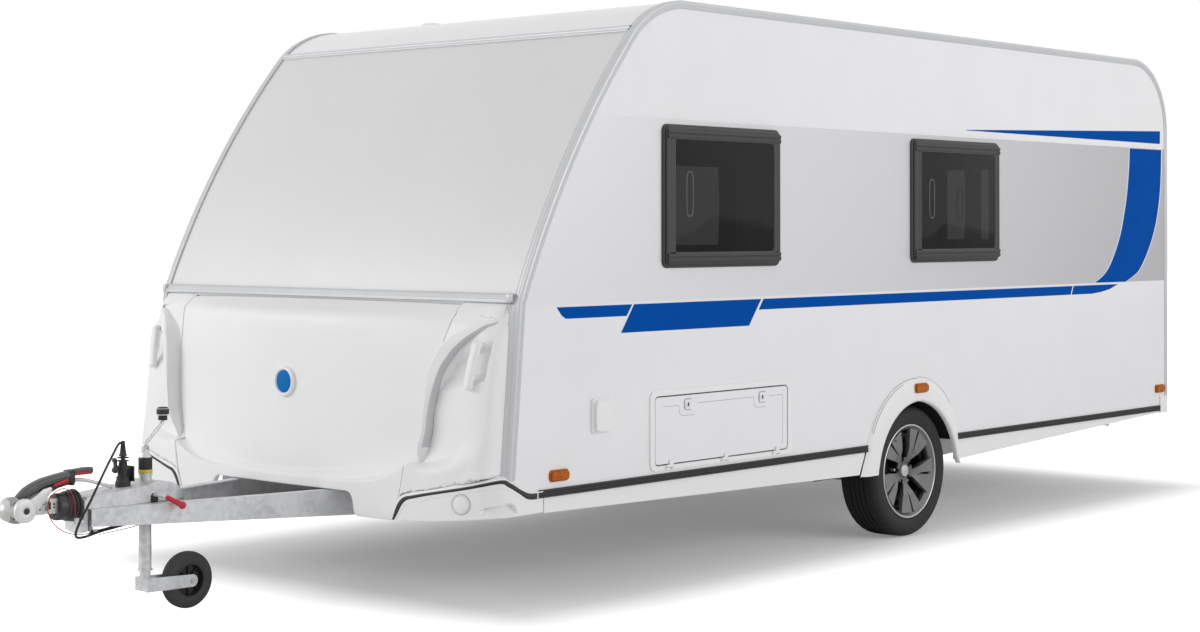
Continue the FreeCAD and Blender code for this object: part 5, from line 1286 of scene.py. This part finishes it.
def jockey_wheel():
    """Solid rubber tyre with ribs on a black spoked hub."""
    centre = at(0, JOCKEY_POST + JOCKEY_TRAIL, JOCKEY_R)
    parts = [lathe_piece("jockey_" + name, mirrored(profile), centre, (1, 0, 0), material, n=n, body="jockey_roller")
             for name, profile, material, n in (
                 ("tyre", [(66, 25), (70, 27.5), (84, 29.5), (97, 29), (105, 26.5), (110, 22), (112.5, 17.5),
                           (113.2, 14), (111.8, 13), (111.8, 11.5), (114.2, 10.5), (114.5, 6), (113, 5), (113, 3.5),
                           (115, 2.5)], "jockey_tyre_rubber", 96),
                 ("rim", [(67, 26.5), (63, 27), (61.5, 24), (60, 8)], "black_plastic", 72),
                 ("hub", [(6.5, 31), (16, 31), (19, 28), (20, 12), (22, 4)], "black_plastic", 40),
                 ("web", [(20, 3), (61, 3)], "black_plastic", 48))]
    sharp(parts[0], 40)
    for k, (c, s) in enumerate(around(8)):
        out, side = Vector((0, c, s)), Vector((0, -s, c))
        rows = [[centre + out * (d / 1000) + side * (w * cb / 1000) + Vector((h * sb / 1000, 0, 0))
                 for cb, sb in around(12)] for d, w, h in ((17, 6.5, 17), (28, 5, 14), (45, 4.4, 13), (62, 6, 16))]
        parts.append(grid_piece("jockey_spoke_%d" % k, rows, "black_plastic", wrap_columns=True,
                                body="jockey_roller"))
    whole = merged("jockey_wheel_whole", parts, "rubber", "jockey_roller")
    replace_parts(whole, "jockey_wheel")
    for k, sign in enumerate((1, -1)):
        lathe_piece("fork_nut_%d" % k, [(14, 0), (14, 1.5), (9.5, 1.6), (9.5, 6), (8.3, 8), (4, 8), (4, 4.2),
                                        (0.2, 4.2)],
                    at(sign * 41, JOCKEY_POST + JOCKEY_TRAIL, JOCKEY_R), (sign, 0, 0), "steel_zinc", n=12,
                    body="jockey_swivel", crisp=30)


jockey_wheel()


# ------------------------------------------------------------------ coupling
def hex_bolt(name, centre, axis, size, tail=0):
    """Washer, hexagon head and, for a nut, the bolt's end."""
    profiles = [("_washer", [(size * 1.35, 0), (size * 1.35, 1.6), (size, 1.7)], 28, None),
                ("_head", [(size, 1.5), (size, size * 0.85), (size * 0.85, size), (0.2, size)], 6, 25)]
    if tail:
        profiles.append(("_tail", [(size * 0.5, size), (size * 0.5, size + tail - 1), (size * 0.4, size + tail),
                                   (0.2, size + tail)], 16, None))
    merged(name, [lathe_piece(name + part, profile, centre, axis, "steel_zinc", n=n, crisp=crisp)
                  for part, profile, n, crisp in profiles], "steel_zinc")


LEVER_SECTIONS = [(-4374, 523, 512, 13), (-4358, 539, 511, 16), (-4338, 555, 514, 19), (-4315, 567, 523, 21),
                  (-4290, 577, 534, 22), (-4262, 586, 547, 23), (-4230, 592, 557, 23), (-4196, 598, 566, 23),
                  (-4164, 602, 573, 23), (-4140, 604, 576, 23), (-4130, 605, 578, 22)]


def lever_body(name, sections, steps, squareness):
    """A bar of rounded-square sections: station, top, bottom and half width."""
    rows = [[at(half * power(c, squareness), s, mix(foot, top, 0.5 + 0.5 * power(q, 0.6))) for c, q in around(steps)]
            for s, top, foot, half in sections]
    return grid_piece(name, rows, "lever_grey", wrap_columns=True)


def coupling_lever():
    """Curved lever with a waisted grip, red ribs below it, and its lower arm with a bare red pad."""
    grip = []
    for k in range(15):
        t = k / 14
        bulge = math.sin(math.pi * t)
        grip.append((mix(-4126, -4042, t), mix(608.5, 611, t) + 2.5 * bulge, mix(592, 590, t),
                     18 - 3 * bulge + (2 if k in (0, 14) else 0)))
    waves = [(-4124, 594)]
    for k in range(6):
        s = -4120 + k * 13
        waves += [(s, 586.5), (s + 4, 583.5), (s + 8.5, 583.8), (s + 12, 588)]
    waves += [(-4041, 590), (-4041, 594)]
    parts = [
        lever_body("lever_arm", LEVER_SECTIONS, 24, 0.55),
        slab("lever_block", [(-4150, 606), (-4124, 608), (-4124, 560), (-4128, 548), (-4142, 548), (-4150, 574)],
             -23, 23, 3, "black_plastic"),
        slab("lever_flange", [(-4290, 566), (-4160, 590), (-4160, 586), (-4290, 561)], 21, 25, 0.8, "lever_grey"),
        lever_body("lever_grip", grip, 20, 0.6),
        slab("lever_ribs", waves, -15, 15, 1.4, "red_grip"),
        slab("lever_cap", [(-4047, 611.5), (-4040.2, 611), (-4040.2, 588), (-4047, 588)], -16, 16, 1.5, "red_grip"),
        slab("lever_lower", [(-4264, 546), (-4236, 552), (-4131, 592), (-4127, 588), (-4130, 556), (-4196, 543),
                             (-4244, 522), (-4258, 524)], -17, 17, 4, "black_plastic"),
        slab("lever_pad", [(-4216, 561), (-4140, 581), (-4136, 577), (-4138, 564), (-4208, 551), (-4217, 553)],
             -18.4, 18.4, 1.5, "red_grip")]
    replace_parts(merged("coupling_lever", parts, "steel_dark"), "coupling_handle")


coupling_lever()


def coupling_side(side, sign):
    """Friction disc, bracket arm and the neck's slot, holes and ribs on one side of the coupling."""
    face = at(sign * 60, -4366, 476)
    lathe_piece("friction_disc_" + side, [(44, -21), (45.6, -19), (46, -2), (45, 1.5), (42, 3.4), (36, 4.6),
                                          (22, 5.6), (12.5, 5.8), (12, 4.6)], face, (sign, 0, 0), "disc_silver", n=72,
                slot="steel_zinc")
    lathe_piece("disc_hub_" + side, [(12, 4.6), (12, 6.6), (10.5, 7.8), (0.2, 8.2)], face, (sign, 0, 0),
                "black_plastic", n=36)
    slab("bracket_arm_" + side, [(-4346, 506), (-4322, 515), (-4300, 527), (-4272, 547), (-4240, 553), (-4232, 548),
                                 (-4236, 532), (-4262, 505), (-4282, 484), (-4300, 462), (-4330, 462)],
         sign * 27, sign * 31, 1.2, "disc_silver", slot="steel_zinc")
    x0, x1 = sign * 26, sign * 27.2
    # the neck's slot and holes are thin black plates and discs on its face: painted shade for their dark insides
    parts = [slab("neck_slot_a_" + side, [(-4246, 468), (-4240, 466), (-4236, 468), (-4236, 494), (-4240, 497),
                                          (-4246, 494)], x0, x1, 0.3, "black_plastic")]
    for k, (s, z, r) in enumerate(((-4222, 486, 4), (-4222, 474, 3.2), (-4284, 470, 3.4), (-4268, 488, 2.6))):
        parts.append(lathe_piece("neck_hole_%d" % k, [(r, 0), (r, 1.3), (0.2, 1.3)], at(x0, s, z), (sign, 0, 0),
                                 "black_plastic", n=20))
    for k, s in enumerate((-4262, -4256, -4250)):
        parts.append(slab("neck_rib_%d" % k, box_outline(s, s + 2.4, 462, 498), x0, x1, 0.4, "steel_dark"))
    merged("neck_details_" + side, parts, "steel_zinc")


def coupling_fittings():
    coupling_side("l", 1)
    coupling_side("r", -1)
    # the nose over the ball: a smooth shell, 3 millimetres thick
    rows = []
    for k in range(25):
        a = math.radians(mix(-98, 78, k / 24))
        row = []
        for j in range(13):
            u = j / 12 * 2 - 1
            r = 62 * math.sqrt(max(0, 1 - 0.32 * u * u))
            row.append(at(36.5 * u, -4368 - r * math.cos(a), 476 + r * math.sin(a) * 0.86))
        rows.append(row)
    solidify(grid_piece("coupling_nose", rows, "nose_grey", slot="steel_zinc"), 3)
    # gaiter: a cup, then folds that grow towards the housing
    profile = [(29, -4205), (47, -4206), (50.5, -4203.5), (52, -4198), (53, -4176), (52, -4170), (48, -4167)]
    for k in range(4):
        for t in (0.12, 0.3, 0.5, 0.7, 0.88, 1.0):
            fold = (11.5 + 0.4 * k) * math.sin(math.pi * t) ** 0.6 if t < 1 else 0
            profile.append((46 + 1.6 * k + fold, -4165 + k * 13.2 + 13.2 * t))
    gaiter = lathe_piece("gaiter", profile, at(0, 0, 470), (0, 1, 0), "gaiter_rubber", n=72, slot="rubber")
    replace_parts(gaiter, "bellows")


coupling_fittings()


def shaft_between(name, a, b, profile, material, n=36, **kw):
    """Turned piece along the line from a to b; profile is (radius, share of the length)."""
    start, end = at(*a), at(*b)
    length = (end - start).length * 1000
    return lathe_piece(name, [(r, t * length) for r, t in profile], start, end - start, material, n=n, **kw)


def housing_seams():
    """The bent bar behind the lever, and the seam between the housing and the members."""
    rod_piece("bent_bar", [(-6, -4150, 566), (-6, -4085, 566), (-6, -4030, 552), (-6, -3985, 538), (-6, -3940, 524)],
              7.5, "neck_silver", slot="steel_zinc")
    seams = []
    for sign in (1, -1):
        route = [(sign * x, s, 456.5) for x, s in ((66.5, -4103), (84.5, -3900), (84.5, -3800), (84.5, -3720),
                                                   (60, -3645))]
        seams.append(rod_piece("housing_seam_%d" % sign, route, 1.7, "gap_seal", order=2))
        seams.append(slab("nose_gap_%d" % sign, [(-4096, 372), (-4092.5, 372), (-4092.5, 455), (-4096, 455)],
                          sign * 40, sign * 68, 0.4, "gap_seal"))
    merged("housing_seams", seams, "rubber")


def parking_brake():
    """Slot for the parking brake, its rod and its red grip."""
    hole = [(-3821, 462), (-3816, 458), (-3789, 458), (-3784, 462), (-3784, 484), (-3792, 494), (-3813, 494),
            (-3821, 484)]
    # the slot's opening is a thin black plate in a silver rim: painted shade for its dark inside
    slab("brake_slot", hole, 83, 85.4, 0.8, "black_plastic")
    slab("brake_slot_rim", [(mix(-3802.5, s, 1.14), mix(475, z, 1.12)) for s, z in hole], 82, 84.6, 0.8,
         "neck_silver", slot="steel_zinc")
    elbow, tip, ball = (150, -3786, 478), (212, -3763, 452), 15.4
    rod = rod_piece("brake_rod_end", [(78, -3806, 486), (112, -3798, 486), (134, -3791, 483), elbow], 6.5,
                    "neck_silver", order=2, slot="steel_zinc")
    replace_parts(rod, "handbrake_lever")
    grip = shaft_between("brake_grip", elbow, tip, [(7, -0.1), (9, -0.08), (9.6, 0), (10.6, 0.4), (11.6, 0.7),
                                                    (11.8, 0.8), (10.8, 0.84), (10.6, 0.93)], "red_grip")
    profile = [(max(0.2, ball * math.sin(a)), -ball * math.cos(a)) for a in (math.pi * k / 16 for k in range(17))]
    end = lathe_piece("brake_ball", profile, at(*tip), (at(*tip) - at(*elbow)).normalized(), "red_grip", n=36)
    merged("brake_grip", [grip, end], "red_lens")


def plug_fittings():
    """The plug's side latch and ribs, and the boot on the cable."""
    parts = [slab("plug_ear", [(-3934, 578), (-3926, 574), (-3922, 580), (-3922, 626), (-3927, 636), (-3936, 634),
                               (-3938, 622), (-3931, 616), (-3931, 600), (-3938, 594), (-3940, 584)], -9, 9, 2,
                  "black_plastic"),
             slab("plug_hinge", box_outline(-3926, -3906, 592, 604), -7, 7, 2, "black_plastic")]
    for k, z in enumerate((578, 590, 622, 634)):
        parts.append(lathe_piece("plug_rib_%d" % k, [(20, -2.2), (23.4, -1.6), (23.8, 0), (23.4, 1.6), (20, 2.2)],
                                 at(0, -3891, z), (0, 0, 1), "black_plastic", n=40))
    boot = [(15, 0), (16, 4), (13, 12)]
    for k in range(5):
        boot += [(r - k, h + 9 * k) for r, h in ((12.4, 16), (12.4, 21), (10.8, 22), (10.8, 24))]
    parts.append(lathe_piece("plug_boot", boot, at(0, -3891, 640), (0, 0, 1), "black_plastic", n=32))
    merged("plug_fittings", parts, "black_plastic")


def jockey_clamp():
    """Yellow ring, ribbed collar, bright cone with fins, dark knob and the tube's flanges."""
    post, up = at(0, JOCKEY_POST, 0), (0, 0, 1)
    sleeve = lathe_piece("yellow_ring", [(25, 565), (28.6, 565.6), (29.4, 568), (29.4, 576), (28.6, 578.4),
                                         (25, 579)], post, up, "yellow_ring", n=64)
    rows = []
    for k, (c, s) in enumerate(around(96)):
        r = 27.6 if k % 4 < 2 else 26.6
        rows.append([post + Vector((q * c, q * s, h)) / 1000 for q, h in (
            (26, 579), (r, 580), (r, 619), (27.2, 621), (27.2, 625), (25.8, 627), (20, 628.5))])
    collar = grid_piece("jockey_collar", rows, "black_plastic", wrap_rows=True)
    merged("jockey_clamp", [sleeve, collar], "black_plastic")
    cone = lathe_piece("jockey_cone", [(24, 627), (23.4, 631), (17, 640), (13, 648), (12.4, 656), (10, 658.5),
                                       (7.2, 659)], post, up, "neck_silver")
    fins = [slab("neck_fin_%d" % k, [(s, 640), (s + 5, 640), (s + 4, 668), (s, 674)], -9, 9, 1, "neck_silver")
            for k, s in enumerate((-3799, -3776))]
    merged("jockey_neck", [cone] + fins, "steel_zinc")
    lathe_piece("crank_knob", [(7.4, 768), (17.6, 769), (18.6, 772), (17.8, 786), (22, 790), (24.6, 794), (25, 812),
                               (22.5, 818), (16, 821.4), (0.2, 822)], at(0, -3701, 0), up, "black_plastic")
    rings = [lathe_piece("tube_flange_%d" % k, [(25, 0), (29, 0.6), (30, 3), (29, 6), (25.4, 7)],
                         at(0, JOCKEY_POST, z), up, "steel_galvanised", n=56) for k, z in enumerate((177, 555))]
    merged("tube_flanges", rings, "steel_galvanised")


def drawbar_fittings():
    housing_seams()
    parking_brake()
    plug_fittings()
    jockey_clamp()
    # bolts under the drawbar's front, a thin rod and the loom below it
    down = (0, 0, -1)
    hex_bolt("front_bolt_l", at(48, -4051, 372), down, 9, tail=9)
    hex_bolt("front_bolt_r", at(-48, -4051, 372), down, 9, tail=9)
    hex_bolt("clamp_bolt", at(40, -3836, 376), down, 6, tail=14)
    hex_bolt("housing_bolt", at(84, -3856, 428), (1, 0, 0), 8)
    rod_piece("thin_rod", [(54, -4040, 352), (50, -3960, 357), (44, -3860, 365), (40, -3836, 369)], 2.2, "steel_zinc")
    rod_piece("loom_sleeve", [(38, -4062, 360), (36, -3990, 366), (36, -3930, 374), (36, -3880, 380)], 7,
              "black_plastic")


drawbar_fittings()


# ------------------------------------------------------------------ corner covers and rub strips
# the bumper line seen from above, from beside the lip round the corner to the side
BUMPER_PLAN = [(660, -3094), (720, -3091), (760, -3088), (800, -3084), (840, -3078), (880, -3070), (920, -3062),
               (960, -3054), (1000, -3043), (1040, -3027), (1080, -3010), (1110, -2992), (1130, -2970), (1146, -2948),
               (1157, -2928), (1164, -2905), (1168, -2880), (1168, -2690)]
# lines of the cover from the lip round the corner: x, station and height of each place
COVER_LEDGE = [(684, -3093, 370), (700, -3092, 412), (716, -3091, 446), (732, -3090, 468), (784, -3086, 485),
               (885, -3069, 503), (1038, -3028, 536), (1150, -2940, 560), (1165, -2897, 543), (1168, -2842, 513),
               (1168, -2786, 493), (1168, -2716, 491)]
STRIP_HIGH = [(691, -3093, 370), (709, -3092, 414), (728, -3090, 444), (756, -3088, 465), (800, -3084, 475),
              (885, -3069, 492), (1038, -3028, 521), (1150, -2940, 549), (1165, -2897, 534), (1168, -2842, 504),
              (1168, -2790, 485), (1168, -2716, 483)]
STRIP_LOW = [(704, -3092, 370), (722, -3091, 396), (742, -3089, 428), (768, -3087, 452), (808, -3083, 463),
             (885, -3069, 480), (1038, -3028, 509), (1147, -2946, 534), (1163, -2908, 519), (1168, -2852, 488),
             (1168, -2797, 461), (1168, -2716, 459)]
COVER_GROOVE = [(714, -3091, 370), (733, -3090, 396), (752, -3089, 422), (778, -3086, 438), (812, -3082, 447),
                (885, -3069, 464), (1038, -3028, 494), (1140, -2956, 516), (1162, -2912, 505), (1168, -2856, 476),
                (1168, -2800, 450), (1168, -2716, 448)]
COVER_FOOT = [(718, -3091, 369), (738, -3090, 369), (762, -3088, 370), (790, -3085, 371), (824, -3080, 373),
              (890, -3068, 376), (1038, -3028, 389), (1130, -2970, 397), (1160, -2918, 399), (1168, -2860, 400),
              (1168, -2800, 400), (1168, -2716, 402)]
RECESS = [(1096, 405), (1106, 434), (1118, 440), (1226, 455), (1240, 446), (1256, 420), (1262, 406)]
RECESS_DEPTH = 26


def run_table():
    """Each leg of the bumper line: where it starts along the line, its length, its start and its direction."""
    runs, total = [], 0.0
    for (x0, s0), (x1, s1) in zip(BUMPER_PLAN, BUMPER_PLAN[1:]):
        length = math.hypot(x1 - x0, s1 - s0)
        runs.append((total, length, x0, s0, (x1 - x0) / length, (s1 - s0) / length))
        total += length
    return runs


RUNS = run_table()


def run_of(x, s):
    """Distance along the bumper line of the place nearest to (x, s)."""
    best = (1e9, 0)
    for start, length, x0, s0, dx, ds in RUNS:
        t = min(length, max(0, (x - x0) * dx + (s - s0) * ds))
        best = min(best, (math.hypot(x0 + t * dx - x, s0 + t * ds - s), start + t))
    return best[1]


def on_bumper(d, z, h=0.0):
    """A place d along the bumper line, h proud of it."""
    k = max(i for i, run in enumerate(RUNS) if run[0] <= max(0, d))
    start, length, x0, s0, dx, ds = RUNS[k]
    after = RUNS[min(k + 1, len(RUNS) - 1)]
    t = min(1, (d - start) / length)
    blend = 0.5 * smooth(t - 0.5) if t > 0.5 else 0
    nx, ns = mix(ds, after[5], blend), mix(-dx, -after[4], blend)
    size = math.hypot(nx, ns)
    return at(x0 + dx * (d - start) + h * nx / size, s0 + ds * (d - start) + h * ns / size, z)


def bumper_line(points):
    return spline_through([(run_of(x, s), z) for x, s, z in points], 8)


def cover_row(a, b, c, d, e):
    """One section of the cover from its ledge a over the strip b to c and the groove d to its foot e."""
    row = [(a[0], a[1] + 4, -20), (a[0], a[1] - 0.5, -9), (a[0], a[1] - 1.5, -4), (a[0], a[1] - 4, -0.5),
           (*between(a, b, 0.55), 1.2), (*b, 1.6), (b[0], b[1] - 0.6, -3), (c[0], c[1] + 0.6, -3), (*c, 1.6),
           (*between(c, d, 0.6), 1.0), (d[0], d[1] + 1.6, 0.8), (d[0], d[1], -1.2), (d[0], d[1] - 1.6, 0.4)]
    for k in range(1, 30):
        p, z = mix(d[0], e[0], k / 30), mix(d[1] - 1.6, e[1] + 4, k / 30)
        # the recess is deepest below its roof and runs out at the foot
        inside = smooth(min(depths_inside(RECESS_RUN, p, z)) / 3.5)
        row.append((p, z, -RECESS_DEPTH * inside * min(1, max(0.1, (z - 403) / 36))))
    row += [(e[0], e[1] + 4, 0), (e[0], e[1] + 1, -1.2), (e[0], e[1], -4), (e[0], e[1] + 1, -18)]
    return [on_bumper(*p) for p in row]


def corner_cover():
    rows, strip_rows = [], []
    for a, b, c, d, e in zip(*(bumper_line(line) for line in
                               (COVER_LEDGE, STRIP_HIGH, STRIP_LOW, COVER_GROOVE, COVER_FOOT))):
        rows.append(cover_row(a, b, c, d, e))
        if b[0] <= run_of(1168, -2741):
            strip_rows.append([on_bumper(*between(b, c, t), h) for t, h in (
                (0.04, -4), (0.05, 1.2), (0.2, 2.2), (0.5, 2.6), (0.8, 2.2), (0.95, 1.2), (0.96, -4))])
    # the end on the side steps back to the skirt
    rows.append([p + Vector((-0.012, 0.0005, 0)) for p in rows[-1]])
    cover = grid_piece("corner_cover_left", rows, "moulding_white", crisp=40)
    strip = grid_piece("corner_strip_left", strip_rows, "black_plastic", crisp=40)
    eye = run_of(1024, -3033), 452
    middle = on_bumper(*eye)
    out = (on_bumper(*eye, 10) - middle).normalized()
    cap = lathe_piece("towing_eye_cap", [(38, -2), (38, 3), (37, 4.4), (35.6, 4.4), (34.6, 0.6), (32.6, 0.6),
                                         (32, 3.6), (31, 4.4), (12, 5.2), (0.2, 5.4)], middle, out, "moulding_white",
                      n=56)
    # grey ring flush round the cap: painted shade of the groove round it
    ring = lathe_piece("cap_groove", [(41, -3), (41, 0.9), (38.6, 1.1), (38, -3)], middle, out, "seam_grey", n=56)
    whole = merged("corner_cover_left", [cover, cap, ring], "moulding_white")
    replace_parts(whole, "corner_covers")
    mirror_copy("corner_cover_right", whole)
    mirror_copy("corner_strip_right", strip)


RECESS_RUN = [(run_of(1098, -2999) + (a - 1098), z) for a, z in RECESS]
RUB = [(459, -0.5), (459, 6.5), (460.5, 8.5), (467, 8.5), (468.5, 5.5), (470.5, 5.5), (472, 9), (478, 9),
       (479.5, 5.5), (481.5, 5.5), (483, 8.5), (489.5, 8.5), (491, 6.5), (491, -0.5)]


def rub_strips():
    corner_cover()
    parts = []
    for sign in (1, -1):
        for k, (s0, s1) in enumerate(((-2739, -433), (372, 2606))):
            rows = [[at(sign * (HALF + h), s, z) for z, h in RUB] for s in (s0, s0 + 1, mix(s0, s1, 0.5), s1 - 1, s1)]
            parts.append(grid_piece("rub_strip_%d_%d" % (sign, k), rows, "black_plastic", crisp=30))
    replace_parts(merged("rub_strips_sides", parts, "black_plastic"), "rub_strips")


rub_strips()


# ------------------------------------------------------------------ service flap, lamps
def groove(name, routes, h, width=1.3):
    """Fine moulded lines on the flap, as grey rods whose grey is painted shade of the grooves: routes of (station,
    height).
    """
    merged(name, [rod_piece("%s_%d" % (name, k), [(HALF + h, s, z) for s, z in route], width, "seam_grey", order=2)
                  for k, route in enumerate(routes)], "moulding_white", "flap")


def flap_details():
    # grey lines along the flap's moulded grooves: painted shade of the grooves
    groove("flap_groove", [
        [(-1969, 776), (-1869, 775), (-1861, 771), (-1858, 744), (-1850, 734), (-1838, 730), (-1758, 729)],
        [(-1737, 778), (-1339, 780), (-1334, 777), (-1332, 752), (-1325, 738), (-1312, 731), (-1244, 730)],
        [(-1217, 778), (-1126, 779), (-1119, 775), (-1117, 764), (-1119, 554)]], 4.6)
    for k, s in enumerate((-1801, -1273)):
        z = 776
        # grey outline round each latch: painted shade of its moulded groove
        groove("latch_edge_%d" % k, [[(s + 24, z + 24), (s - 16, z + 24), (s - 24, z + 16), (s - 24, z - 16),
                                      (s - 16, z - 24), (s + 22, z - 24)]], 6.6, width=1.5)
        lathe_piece("latch_plate_%d" % k, [(14, -2), (14, 2.2), (13, 3.2), (11.5, 3.2), (11, 1.6), (0.2, 1.8)],
                    at(HALF + 8.6, s, z), (1, 0, 0), "moulding_white", n=40, body="flap")
        # black half disc in the latch's key pocket: painted shade in the pocket's shaded half
        pocket = [(s + 9.5 * math.cos(a) * 0.9 + 2, z + 9.5 * math.sin(a))
                  for a in (math.pi / 2 + math.pi * j / 12 for j in range(13))]
        slab("latch_slot_%d" % k, pocket, HALF + 9, HALF + 11.2, 0.3, "black_plastic", body="flap")


flap_details()


def lamp_top(sign, s, z):
    """How far from the middle the lens face lies at a place."""
    lamps = nodes["side_lamps"]
    best = HALF
    for p in (lamps.matrix_world @ v.co for v in lamps.data.vertices):
        if abs(p.y - at(0, s, 0).y) < 0.07 and abs(p.z - z / 1000) < 0.04 and p.x * sign > 0:
            best = max(best, abs(p.x) * 1000)
    return best


def lamp_details():
    """Raised ring and round inner lens on each side lamp."""
    for sign in (1, -1):
        for k, (s, z) in enumerate(((-2618, 541), (2603, 590))):
            top = lamp_top(sign, s, z)
            ring = [(sign * top, s + 46 * power(c, 0.5), z + 15.5 * power(q, 0.6)) for c, q in around(40, 41)]
            rod = rod_piece("lamp_ring_%d_%d" % (k, sign), ring, 1.6, "amber_lens", order=2)
            eye = lathe_piece("lamp_eye_%d_%d" % (k, sign), [(13, -2), (13, 1), (11.6, 2), (10, 1.2), (9.4, 0.2),
                                                             (8, 1.8), (0.2, 3.4)],
                              at(sign * (top - 0.4), s - 4, z), (sign, 0, 0), "amber_lens", n=36)
            merged("side_lamp_detail_%d_%s" % (k, "l" if sign > 0 else "r"), [rod, eye], "amber_lens")


lamp_details()
